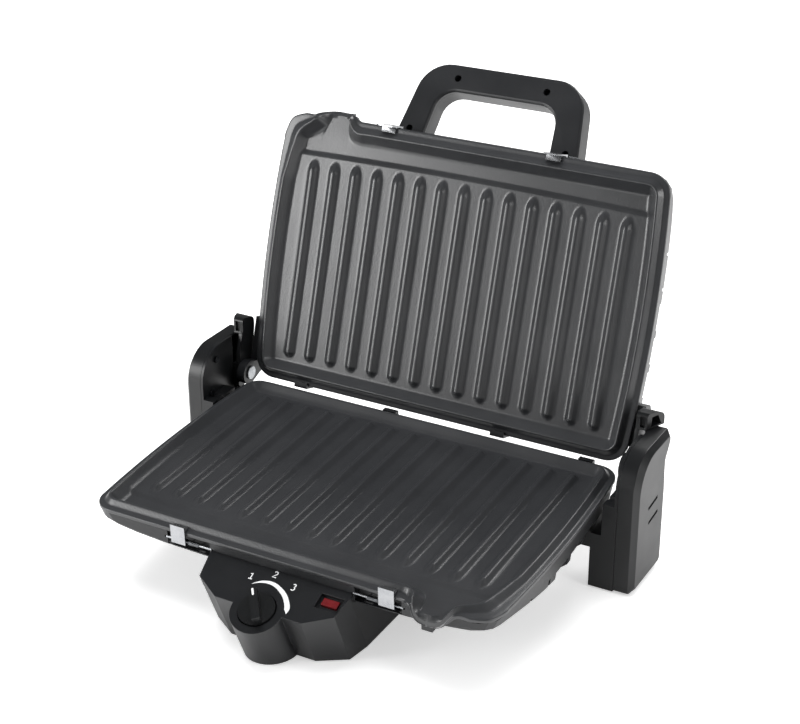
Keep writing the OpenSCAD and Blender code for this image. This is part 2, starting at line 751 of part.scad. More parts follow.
module foot_box() difference() {
    union() {
        difference() {
            foot_steps(0, 0);
            foot_steps(post_wall, 1);
        }
        stand(inner_x, post_wall) polygon(post_outline(0));
        foot_pads();
    }
    stand(inner_x - 1, post_wall + 5) intersection() {
        polygon(post_outline(post_wall * 2));
        translate([post_front + 18, 30]) square([28, 22]);
    }
    bar_slot();
    cover_studs(stud_hole + 0.2, foot_x - 1, seam_x + 1);
    cover_studs(3.4, foot_x - 1, inner_x);
    translate([foot_x - 5, deck_screw_y, deck_screw_z]) rotate([0, 90, 0])
        cylinder(r = deck_screw_r + 0.2, h = 12);
    foot_holes();
}

// Sockets for the rubber feet under a foot box
foot_at = [[(foot_x + seam_x) / 2, post_front + 12], [(foot_x + seam_x) / 2, post_rear - 14]];
module foot_pads() for (p = foot_at) translate([p[0], p[1], foot_t]) cylinder(r = foot_r + 2, h = 4.5);
module foot_holes() for (p = foot_at) translate([p[0], p[1], 0]) cylinder(r = foot_r + seat, h = foot_t + 2);

module foot_box_right() color("#1a1b1d") foot_box();
module foot_box_left() color("#1a1b1d") mirror([1, 0, 0]) foot_box();

// Screws from the foot boxes into the covers
module post_screws() color("#5d6064") both() for (p = stud_at) translate([0, p[0], p[1]])
    rotate([0, 90, 0]) {
        translate([0, 0, inner_x - 1.6 - seat]) cylinder(r = 2.8, h = 1.6);
        translate([0, 0, inner_x - seat - eps]) cylinder(r = stud_hole - 0.05, h = 9);
    }

// Screws from inside the foot boxes into the lower housing's pads
module deck_screws() color("#8d8f92") both() translate([0, deck_screw_y, deck_screw_z])
    rotate([0, 90, 0]) {
        translate([0, 0, foot_x + post_wall + seat]) cylinder(r = 3.8, h = 2.4);
        translate([0, 0, foot_x - 12]) cylinder(r = deck_screw_r - 0.05, h = 12 + post_wall + seat + eps);
    }

module rubber_feet() color("#2b2b2b") {
    both() for (p = foot_at) translate([p[0], p[1], 0]) cylinder(r = foot_r, h = foot_t + 2 - seat);
    for (p = box_foot_at) translate([p[0], p[1], 0]) cylinder(r = foot_r, h = box_floor + 1.2);
}

// ---------------------------------------------------------------- lid lift

// Lift bar: a leaning plate beside the post, a neck through the slot, wings inside, a hood on top
module lift_bar() {
    y0 = hinge_world_y - bar_w / 2;
    y1 = hinge_world_y + bar_w / 2;
    bottom = slot_h + 3;
    wing_top = post_h - post_wall * 1.6 - float_travel - 1;
    difference() {
        union() {
            stand(bar_x, plate_bar_t) intersection() {
                lift_plate();
                translate([0, hood_low - 99.9]) square([200, 100]);
            }
            block([bar_x, y0 - 1, bottom], [bar_end, y1 + 1, hinge_world_z + 8]);
            block([bar_end - eps, y0, bottom], [seam_x + slip, y1, wing_top]);
            block([seam_x + slip - eps, y0 - 3.5, bottom], [seam_x + slip + 3, y1 + 0.2, wing_top]);
            hood();
        }
        translate([bar_x - 1, hinge_world_y, hinge_world_z]) rotate([0, 90, 0])
            cylinder(r = pin_r + 0.02, h = bar_t - 0.2);
    }
}

// Side view (y, z) of the lift bar's plate
hood_low = post_h + cap_gap;
hood_top = post_h + cap_gap + cap_h;
hood_front = hinge_world_y + 2.3;
hood_rear = hinge_world_y + 19.5;
plate_bar_t = 3.2;
module lift_plate() polygon(concat([[hinge_world_y - 7, slot_h + 5.5], [hinge_world_y - 5, slot_h + 3.2],
    [hinge_world_y + 9, slot_h + 3], [hinge_world_y + 11, slot_h + 6]], [[hood_rear, hood_low]],
    arc(hood_rear - 6, hood_top - 7.6, 6, 0, 80, 6), arc(hood_front + 3.4, hood_top - 3.4, 3.4, 95, 180, 6),
    [[hood_front, hood_low + 3], [hinge_world_y - 3.4, deck_h + 25]]));

// Hood over the post's top, with a recess in its front and a deeper one in its outer side
module hood() {
    rise = hood_top - hood_low;
    difference() {
        intersection() {
            translate([0, 0, hood_low]) linear_extrude(rise + 1) polygon([[bar_x, hood_front - 1],
                [bar_x + 8.4, hood_front - 1], [bar_x + 16.4, hood_rear + 1], [bar_x, hood_rear + 1]]);
            stand(bar_x, 30) intersection() {
                lift_plate();
                translate([0, hood_low]) square([200, 30]);
            }
        }
        block([bar_x + plate_bar_t, hood_front - 1, hood_low + 1.6],
            [bar_x + 7, hood_front + 1.6, hood_top - 2.6]);
        hull() {
            block([bar_x + plate_bar_t + 1.6, hood_front + 4, hood_low + 1.6],
                [bar_x + 40, hood_rear - 3.4, hood_low + 2]);
            block([bar_x + plate_bar_t + 1.6, hood_front + 4.6, hood_low + 1.6],
                [bar_x + 40, hood_rear - 6.6, hood_top - 3.6]);
        }
    }
}

module lift_bar_right() color("#17181a") lift_bar();
module lift_bar_left() color("#17181a") mirror([1, 0, 0]) lift_bar();

// Headed hinge pins, pressed into the lift bars
module hinge_pins() color("#9a9da1") both() translate([0, hinge_world_y, hinge_world_z])
    rotate([0, 90, 0]) translate([0, 0, ear_x - 1.4]) {
        cylinder(r = pin_r, h = bar_x + bar_t - 1.4 - ear_x + 1.4 - seat);
        cylinder(r = pin_r + 1.6, h = 1.4 - pin_fit * 2);
    }

// ---------------------------------------------------------------- handle

// Outer edge of the handle drawn in by o, over the arch from the right foot to the left
function arch_outer(o) = let (r = grip_round - o, x1 = grip_foot + grip_bar + 1.8 - o,
    x2 = grip_top + grip_bar - 2 - o - r, y2 = grip_reach + grip_bar - o - r)
    concat([[x1, -30], [x1, 0]], arc(x2, y2, r, 9.5, 90), arc(-x2, y2, r, 90, 170.5),
        [[-x1, 0], [-x1, -30]]);

// Inner edge of the handle drawn in by o, over the arch from the right foot to the left
function arch_inner(o) = let (q = grip_inner_round + o, x3 = grip_top + o - q,
    y3 = grip_reach + o - q)
    concat([[grip_foot + o, -30], [grip_foot + o, 0]], arc(x3, y3, q, 5, 90),
        arc(-x3, y3, q, 90, 175), [[-grip_foot - o, 0], [-grip_foot - o, -30]]);

// Shell of the handle along its arch, through pairs of (drawn in by, height), lowest first
module arch_shell(levels) {
    inner = [for (l = levels) lift(arch_inner(l[0]), l[1])];
    outer = [for (i = [len(levels) - 1:-1:0]) lift(arch_outer(levels[i][0]), levels[i][1])];
    skin([for (k = [0:len(inner[0]) - 1]) concat([for (r = inner) r[k]], [for (r = outer) r[k]])]);
}

holes = [for (s = [-1, 1], p = [screw_top, screw_low]) [s * p[0], p[1]]];

module at_holes(z) for (p = holes) translate([p[0], p[1], z]) children();

module handle_front() color("#1b1c1e") lid() difference() {
    grip() difference() {
        union() {
            arch_shell([[0, -grip_front_t + seat / 2], [0, -2.2], [0.8, -0.7], [2.1, 0]]);
            at_holes(-grip_sink - 2) cylinder(r = grip_socket, h = grip_sink);
        }
        at_holes(-grip_sink) cylinder(r = 2.9, h = 20);
        at_holes(-30) cylinder(r = 1.7, h = 40);
    }
    housing_form(seat, true, 4);
    plate_room();
}

module handle_back() color("#1b1c1e") lid() difference() {
    grip() difference() {
        arch_shell([[2.1, -grip_t], [0.8, -grip_t + 0.7], [0, -grip_t + 2.2],
            [0, -grip_front_t - seat / 2]]);
        at_holes(-grip_t + 4) cylinder(r = 1.5, h = 40);
        at_holes(-grip_sink - 2 - seat) cylinder(r = grip_socket + seat, h = 20);
        bolt_axes(bolt_r);
    }
    housing_form(seat, true, 4);
    plate_room();
}

// Room that the handle leaves for the plate's rim
module plate_room() block([-rim_x, -rim_y - 3, housing_top - 4], [rim_x, rim_y, 10]);

module handle_screws() color("#77797c") lid() grip() at_holes(0) {
    translate([0, 0, -grip_sink + seat]) cylinder(r = 2.6, h = 2.2);
    translate([0, 0, -grip_t + 5]) cylinder(r = 1.45, h = grip_t - 5 - grip_sink + seat + eps);
}

// Bolts from inside the lid's housing into the handle's legs
bolt_r = 2;
bolt_x = grip_foot + grip_bar / 2;
bolt_z = -grip_t * 0.76;
module bolt_axes(r, y0 = -60, y1 = -2) for (s = [-1, 1]) translate([s * bolt_x, y0, bolt_z])
    rotate([-90, 0, 0]) cylinder(r = r, h = y1 - y0);
module bolt_boss() grip() translate([bolt_x, -26, bolt_z]) rotate([-90, 0, 0]) cylinder(r = 6, h = 40);
module bolt_hole() grip() translate([bolt_x, -60, bolt_z]) rotate([-90, 0, 0]) cylinder(r = bolt_r + 0.2, h = 70);

module handle_bolts() color("#8d8f92") lid() grip() for (s = [-1, 1])
    translate([s * bolt_x, 0, bolt_z]) rotate([-90, 0, 0]) {
        translate([0, 0, -29 - seat]) cylinder(r = 4, h = 3);
        translate([0, 0, -28]) cylinder(r = bolt_r - 0.1, h = 25);
    }

// ---------------------------------------------------------------- control box

// Half plan of the control box on the panel, front edge first, drawn in by d
function box_half_plan(d) = [[box_nose - d * 0.4, d], [box_half - 2.8 - d, shoulder_s + d * 0.3],
    [box_half - d, side_s], [box_half - d, box_back - d]];

module box_plan(d) polygon(concat(box_half_plan(d),
    [for (i = [3:-1:0]) let (p = box_half_plan(d)[i]) [-p[0], p[1]]]));

// Solid of the control box below the panel, drawn in by d
module box_solid(d) intersection() {
    panel() translate([0, 0, -120]) linear_extrude(120 - d) union() {
        box_plan(d);
        circle(r = tower_r - d);
    }
    block([-100, -panel_front - 60, box_floor - (d > 0 ? 10 : 0)], [100, 60, 100]);
}

module control_box() color("#1c1d1f") difference() {
    union() {
        difference() {
            box_solid(0);
            box_solid(box_wall);
        }
        intersection() {
            box_solid(box_wall / 2);
            union() {
                panel() translate([0, 0, -12]) cylinder(r = collar_r + 1, h = 12);
                panel() lamp_well(1.6, 9);
                for (p = box_screw_at) translate([p[0], p[1], box_floor + 3.1]) cylinder(r = 3.4, h = 22);
            }
        }
    }
    panel() translate([0, 0, -knob_t - knob_gap + 1.5]) cylinder(r = knob_r + knob_gap, h = 20);
    panel() translate([0, 0, -60]) cylinder(r = 4.6, h = 60);
    panel() lamp_well(0, 3.2);
    panel() block([lamp_x - lens_w / 2 - seat, lamp_s - lens_h / 2 - seat, -20],
        [lamp_x + lens_w / 2 + seat, lamp_s + lens_h / 2 + seat, 1]);
    deck() housing_form(seat, false, 40);
    for (p = box_screw_at) translate([p[0], p[1], -1]) cylinder(r = 1.5, h = 20);
}

// Recess round the lamp
module lamp_well(g, t) block([lamp_x - lens_w / 2 - 2.6 - g, lamp_s - lens_h / 2 - 4.2 - g, -t],
    [lamp_x + lens_w / 2 + 3 + g, lamp_s + lens_h / 2 + 2 + g, g > 0 ? 0 : 1]);

module lamp_lens() color("#a3121a") panel() {
    block([lamp_x - lens_w / 2, lamp_s - lens_h / 2, -9.5],
        [lamp_x + lens_w / 2, lamp_s + lens_h / 2, -lens_sunk]);
    block([lamp_x - lens_w / 2 - 1, lamp_s - lens_h / 2 - 1, -10.5],
        [lamp_x + lens_w / 2 + 1, lamp_s + lens_h / 2 + 1, -9.1 - seat]);
}

module lamp_body() color("#d8d2c4") panel() translate([lamp_x, lamp_s, -10.5 - seat - 12]) {
    cylinder(r = 3, h = 12);
    for (x = [-1.4, 1.4]) translate([x, 0, -5]) cylinder(r = 0.4, h = 5 + eps);
}

// Bottom of the control box, set inside its walls
box_screw_x = box_half - box_wall - 3.2;
box_screw_at = [for (x = [-box_screw_x, box_screw_x], y = [-88, -20]) [x, y]];
box_foot_at = [[-34, -108], [34, -108], [0, 0]];
module control_box_base() color("#161719") difference() {
    intersection() {
        box_solid_low();
        block([-100, -200, box_floor + 0.2], [100, 60, box_floor + 3]);
    }
    for (p = box_screw_at) translate([p[0], p[1], -1]) cylinder(r = 1.7, h = 20);
    for (p = box_foot_at) translate([p[0], p[1], 0]) cylinder(r = foot_r + seat, h = box_floor + 1.3);
}

module box_solid_low() intersection() {
    panel() translate([0, 0, -120]) linear_extrude(120) union() {
        box_plan(box_wall + 0.15);
        circle(r = tower_r - box_wall - 0.15);
    }
    block([-100, -200, 0], [100, 60, 30]);
}

module control_box_screws() color("#8d8f92") for (p = box_screw_at) translate([p[0], p[1], 0]) {
    translate([0, 0, box_floor - 1.3]) cylinder(r = 2.9, h = 1.4);
    translate([0, 0, box_floor]) cylinder(r = 1.45, h = 16);
}

// Thermostat hung under the panel, behind the knob
module thermostat() color("#b4a98c") panel() {
    difference() {
        translate([0, 0, -26]) cylinder(r = 10, h = 9);
        translate([0, 0, -30]) cylinder(r = shaft_r + 0.05, h = 30);
    }
    for (s = [-1, 1]) block([s * 13 - 4, -3, -17.2], [s * 13 + 4, 3, -12 - seat]);
    difference() {
        block([-16, -3, -18.5], [16, 3, -17]);
        translate([0, 0, -30]) cylinder(r = shaft_r + 0.05, h = 30);
    }
    for (x = [-8.4, 5]) block([x, -0.4, -33], [x + 3.4, 0.4, -25.9]);
}

module thermostat_shaft() color("#c8b070") panel() {
    translate([0, 0, -28]) cylinder(r = shaft_r, h = 28 + knob_t - 6);
    translate([0, 0, -28]) cylinder(r = shaft_r + 1.5, h = 1.9);
}

// Knob: a disc sunk in its well, with a finger bar that points at the setting
module knob() color("#202123") panel() rotate([0, 0, knob_start]) {
    low = -knob_t + 1.5;
    difference() {
        union() {
            translate([0, 0, low]) cylinder(r = knob_r, h = knob_t);
            intersection() {
                translate([0, 0, low]) cylinder(r = knob_r, h = 40);
                block([-2.9, -knob_r, 1], [2.9, knob_r, 1.5 + grip_h]);
            }
        }
        translate([0, 0, low - 1]) cylinder(r = shaft_r + 0.02, h = 8);
    }
}

// Rubber bushing where the mains lead passes the lower housing's rear wall
module cord_bushing() color("#202020") deck() translate([60, rim_y, -30]) rotate([90, 0, 0])
    rotate_extrude() polygon([[3.6, -7], [5, -7], [7.8, -1.4], [7.8, -0.2], [5.9, -0.2], [5.9, 6],
        [8, 6], [8, 8], [3.6, 8]]);

lower_plate();
lower_housing();
lower_reflector();
lower_element();
lower_element_clamps();
lower_reflector_screws();
upper_plate();
upper_housing();
upper_reflector();
upper_element();
upper_element_clamps();
upper_reflector_screws();
latch_lower_left();
latch_lower_right();
latch_upper_left();
latch_upper_right();
lower_latch_pins();
upper_latch_pins();
lower_latch_springs();
upper_latch_springs();
post_cover_left();
post_cover_right();
foot_box_left();
foot_box_right();
post_screws();
deck_screws();
rubber_feet();
lift_bar_left();
lift_bar_right();
hinge_pins();
handle_front();
handle_back();
handle_screws();
handle_bolts();
control_box();
control_box_base();
control_box_screws();
thermostat();
thermostat_shaft();
knob();
lamp_lens();
lamp_body();
thermal_cutout();
cord_bushing();
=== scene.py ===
"""Electric indoor grill with a lid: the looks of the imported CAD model.

The CAD model is the frame. Every piece here is in metres in that frame, rides on one
of its bodies and stands where the CAD node stands. Sizes in the classes are in
millimetres, as in the part's source, and become metres when a mesh is placed.
"""

import json
import logging
import math
from dataclasses import dataclass, field
from enum import Enum
from typing import Any, Optional, Sequence

import bmesh
import bpy
import numpy as np
from mathutils import Matrix, Vector

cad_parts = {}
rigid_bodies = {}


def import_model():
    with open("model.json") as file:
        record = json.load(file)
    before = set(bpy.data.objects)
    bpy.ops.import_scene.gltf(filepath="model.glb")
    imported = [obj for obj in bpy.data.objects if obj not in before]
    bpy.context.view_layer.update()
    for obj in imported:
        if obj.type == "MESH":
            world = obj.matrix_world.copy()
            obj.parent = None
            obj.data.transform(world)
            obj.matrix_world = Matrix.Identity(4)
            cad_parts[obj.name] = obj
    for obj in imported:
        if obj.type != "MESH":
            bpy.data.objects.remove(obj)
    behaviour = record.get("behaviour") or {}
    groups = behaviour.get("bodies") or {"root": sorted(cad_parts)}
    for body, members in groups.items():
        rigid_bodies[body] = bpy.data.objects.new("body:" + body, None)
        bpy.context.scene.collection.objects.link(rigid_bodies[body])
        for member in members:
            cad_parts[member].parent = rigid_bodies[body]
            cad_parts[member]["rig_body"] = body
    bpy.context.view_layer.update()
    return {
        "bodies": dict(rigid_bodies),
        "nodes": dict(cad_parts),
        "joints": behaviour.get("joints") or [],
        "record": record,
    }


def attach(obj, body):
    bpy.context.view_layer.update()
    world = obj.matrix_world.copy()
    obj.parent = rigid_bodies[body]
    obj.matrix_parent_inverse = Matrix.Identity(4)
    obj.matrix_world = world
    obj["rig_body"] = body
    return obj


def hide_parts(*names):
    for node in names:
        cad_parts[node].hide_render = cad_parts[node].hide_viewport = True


LOG = logging.getLogger("grill")
MM = 0.001
WELD_GAP = 2e-6  # metres, seams of a mesh's patches
Array = np.ndarray


# ------------------------------------------------------------------ frames


def turn_x(degrees: float) -> Array:
    """Returns the 4 x 4 matrix of a turn about X by that many degrees."""
    c, s = math.cos(math.radians(degrees)), math.sin(math.radians(degrees))
    return np.array([[1, 0, 0, 0], [0, c, -s, 0], [0, s, c, 0], [0, 0, 0, 1]], float)


def shift(x: float, y: float, z: float) -> Array:
    """Returns the 4 x 4 matrix of a shift in millimetres."""
    m = np.eye(4)
    m[:3, 3] = (x, y, z)
    return m


HINGE_Y, HINGE_Z = 109.3, 0.3
DECK_Z, DECK_TILT = 75.7, 2.5
LID_OPEN = 109.7
PANEL_Y, PANEL_Z, PANEL_TILT = -140.9, 43.8, 23.3

DECK = shift(0, 0, DECK_Z) @ turn_x(DECK_TILT)
LID = (
    DECK
    @ shift(0, HINGE_Y, HINGE_Z)
    @ turn_x(-LID_OPEN)
    @ np.diag([-1.0, 1, -1, 1])
    @ shift(0, -HINGE_Y, -HINGE_Z)
)
PANEL = shift(0, PANEL_Y, PANEL_Z) @ turn_x(PANEL_TILT)


def place(points: Array, frame: Array) -> Array:
    """Carries points from a CAD frame to the scene.

    Args:
        points: an array (..., 3) in millimetres.
        frame: the frame's 4 x 4 matrix.
    Returns:
        The same array in metres in the scene's frame.
    """
    p = np.asarray(points, float)
    return (p @ frame[:3, :3].T + frame[:3, 3]) * MM


# ------------------------------------------------------------------ meshes


class Shell:
    """Patches of surface that become one mesh."""

    def __init__(self) -> None:
        """Starts with no patch."""
        self.points: list[Array] = []
        self.faces: list[Array] = []
        self.count = 0

    def grid(self, points: Array, wrap: bool = False) -> None:
        """Adds a grid of quads: face (i, j) joins corner (i, j) to its neighbours.

        Args:
            points: an array (rows, columns, 3).
            wrap: whether the last column joins the first.
        """
        rows, cols = points.shape[:2]
        i = np.arange(rows - 1)[:, None]
        j = np.arange(cols if wrap else cols - 1)[None, :]
        a, b = i * cols + j, i * cols + (j + 1) % cols
        c, d = b + cols, a + cols
        quads = np.stack([a, b, c, d], axis=-1).reshape(-1, 4) + self.count
        self.points.append(points.reshape(-1, 3))
        self.faces.append(quads)
        self.count += rows * cols

    def cap(self, ring: Array, flip: bool = False) -> None:
        """Closes a ring with triangles that run to its middle point.

        Args:
            ring: an array (columns, 3).
            flip: whether the triangles turn the other way.
        """
        n = len(ring)
        j = np.arange(n)
        tris = np.stack([j, (j + 1) % n, np.full(n, n)], axis=-1)
        tris = tris[:, ::-1] if flip else tris
        self.points.append(np.vstack([ring, ring.mean(0)]))
        self.faces.append(tris + self.count)
        self.count += n + 1

    def tube(self, points: Array) -> None:
        """Adds a closed tube: a grid whose columns run round it, with both ends capped."""
        self.grid(points, wrap=True)
        self.cap(points[0])
        self.cap(points[-1], flip=True)

    def mesh(self, name: str, frame: Array) -> bpy.types.Mesh:
        """Makes the mesh, welds the patches' seams and turns its faces outwards.

        Args:
            name: the mesh's name.
            frame: the frame that the points are in.
        Returns:
            The mesh, in metres.
        """
        data = bpy.data.meshes.new(name)
        faces = [f for part in self.faces for f in part.tolist()]
        data.from_pydata(place(np.vstack(self.points), frame).tolist(), [], faces)
        weld(data)
        return data


def weld(data: bpy.types.Mesh) -> None:
    """Merges points closer than the weld gap and turns the faces outwards."""
    work = bmesh.new()
    work.from_mesh(data)
    bmesh.ops.remove_doubles(work, verts=work.verts, dist=WELD_GAP)
    bmesh.ops.dissolve_degenerate(work, edges=work.edges, dist=WELD_GAP / 2)
    bmesh.ops.recalc_face_normals(work, faces=work.faces)
    work.to_mesh(data)
    work.free()


def smooth(data: bpy.types.Mesh, angle: float = 32) -> None:
    """Shades a mesh smooth, with sharp edges where faces meet at more than angle degrees."""
    data.polygons.foreach_set("use_smooth", np.ones(len(data.polygons), bool))
    data.set_sharp_from_angle(angle=math.radians(angle))


def piece(
    name: str,
    data: bpy.types.Mesh,
    body: str,
    finish: bpy.types.Material,
    replaces: Sequence[str] = (),
) -> bpy.types.Object:
    """Makes an object of a mesh, puts it on its CAD body and hides the nodes that it stands for.

    Args:
        name: the piece's name.
        data: its mesh, in place.
        body: the CAD body that it rides on.
        finish: its material.
        replaces: CAD nodes that it stands for.
    Returns:
        The object.
    """
    obj = bpy.data.objects.new(name, data)
    bpy.context.scene.collection.objects.link(obj)
    data.materials.clear()
    data.materials.append(finish)
    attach(obj, body)
    if replaces:
        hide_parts(*replaces)
    LOG.info("piece %s rides on %s, %d faces", name, body, len(data.polygons))
    return obj


# ------------------------------------------------------------------ materials


def linear(colour: str) -> tuple[float, float, float, float]:
    """Turns an sRGB hex colour such as #3b3c3e to linear red, green, blue and alpha."""
    raw = np.array([int(colour[i : i + 2], 16) / 255 for i in (1, 3, 5)])
    low, high = raw / 12.92, ((raw + 0.055) / 1.055) ** 2.4
    return (*np.where(raw <= 0.04045, low, high).tolist(), 1.0)


def fresh_tree(owner: bpy.types.Material | bpy.types.World) -> bpy.types.NodeTree:
    """Switches an owner's nodes on and returns its emptied tree."""
    owner.use_nodes = True
    owner.node_tree.nodes.clear()
    return owner.node_tree


def add(
    tree: bpy.types.NodeTree,
    kind: str,
    settings: Optional[dict[str, Any]] = None,
    links: Optional[dict[Any, Any]] = None,
) -> bpy.types.Node:
    """Adds a node with its settings and links.

    Args:
        tree: the node tree.
        kind: the node's type.
        settings: values of attributes or, where no attribute has the name, of inputs.
        links: for an input's name or number, the output that feeds it.
    Returns:
        The node.
    """
    node = tree.nodes.new(kind)
    for key, value in (settings or {}).items():
        if isinstance(key, str) and hasattr(node, key):
            setattr(node, key, value)
        else:
            node.inputs[key].default_value = value
    for key, output in (links or {}).items():
        tree.links.new(output, node.inputs[key])
    return node


# Noise lies mostly between these values, and the colour drifts over nearly the same range.
NOISE_ENDS = (0.3, 0.7)
RAMP_ENDS = (0.32, 0.72)


@dataclass(frozen=True)
class Finish:
    """A finish: what the surface is, and how its grain, mottle and gloss are made.

    Args:
        name: the material's name.
        colour: its colour, sRGB hex.
        tint: the other colour that its mottle drifts to.
        roughness: middle roughness.
        spread: how far the roughness drifts either way.
        metallic: 1 for a bare metal.
        ior: index of refraction.
        grain_mm: spacing of the fine grain in millimetres.
        grain_depth_mm: height of that grain in millimetres.
        mottle_mm: size of the drifts of colour and gloss in millimetres.
        stretch: how much longer the grain is along each axis.
    """

    name: str
    colour: str
    tint: str
    roughness: float
    spread: float = 0.04
    metallic: float = 0.0
    ior: float = 1.5
    grain_mm: float = 0.6
    grain_depth_mm: float = 0.02
    mottle_mm: float = 30.0
    stretch: tuple[float, float, float] = (1.0, 1.0, 1.0)

    def build(self) -> bpy.types.Material:
        """Builds the node tree: mottle drives colour and roughness, grain drives the bump."""
        material = bpy.data.materials.new(self.name)
        tree = fresh_tree(material)
        coord = add(tree, "ShaderNodeTexCoord")
        grain_map = add(
            tree,
            "ShaderNodeMapping",
            {"Scale": tuple(1 / s for s in self.stretch)},
            {"Vector": coord.outputs["Object"]},
        )
        mottle = add(
            tree,
            "ShaderNodeTexNoise",
            {"Scale": 1 / (self.mottle_mm * MM), "Detail": 3.0, "Roughness": 0.55},
            {"Vector": coord.outputs["Object"]},
        )
        grain = add(
            tree,
            "ShaderNodeTexNoise",
            {"Scale": 1 / (self.grain_mm * MM), "Detail": 2.0, "Roughness": 0.6},
            {"Vector": grain_map.outputs["Vector"]},
        )
        colour = add(tree, "ShaderNodeValToRGB", {}, {"Fac": mottle.outputs["Fac"]})
        ends = zip(colour.color_ramp.elements, RAMP_ENDS, (self.colour, self.tint))
        for element, position, tone in ends:
            element.position = position
            element.color = linear(tone)
        gloss = add(
            tree,
            "ShaderNodeMapRange",
            {
                "From Min": NOISE_ENDS[0],
                "From Max": NOISE_ENDS[1],
                "To Min": self.roughness - self.spread,
                "To Max": self.roughness + self.spread,
            },
            {"Value": mottle.outputs["Fac"]},
        )
        bump = add(
            tree,
            "ShaderNodeBump",
            {"Strength": 1.0, "Distance": self.grain_depth_mm * MM},
            {"Height": grain.outputs["Fac"]},
        )
        shader = add(
            tree,
            "ShaderNodeBsdfPrincipled",
            {
                "Metallic": self.metallic,
                "IOR": self.ior,
            },
            {
                "Base Color": colour.outputs["Color"],
                "Roughness": gloss.outputs["Result"],
                "Normal": bump.outputs["Normal"],
            },
        )
        add(tree, "ShaderNodeOutputMaterial", {}, {"Surface": shader.outputs["BSDF"]})
        return material


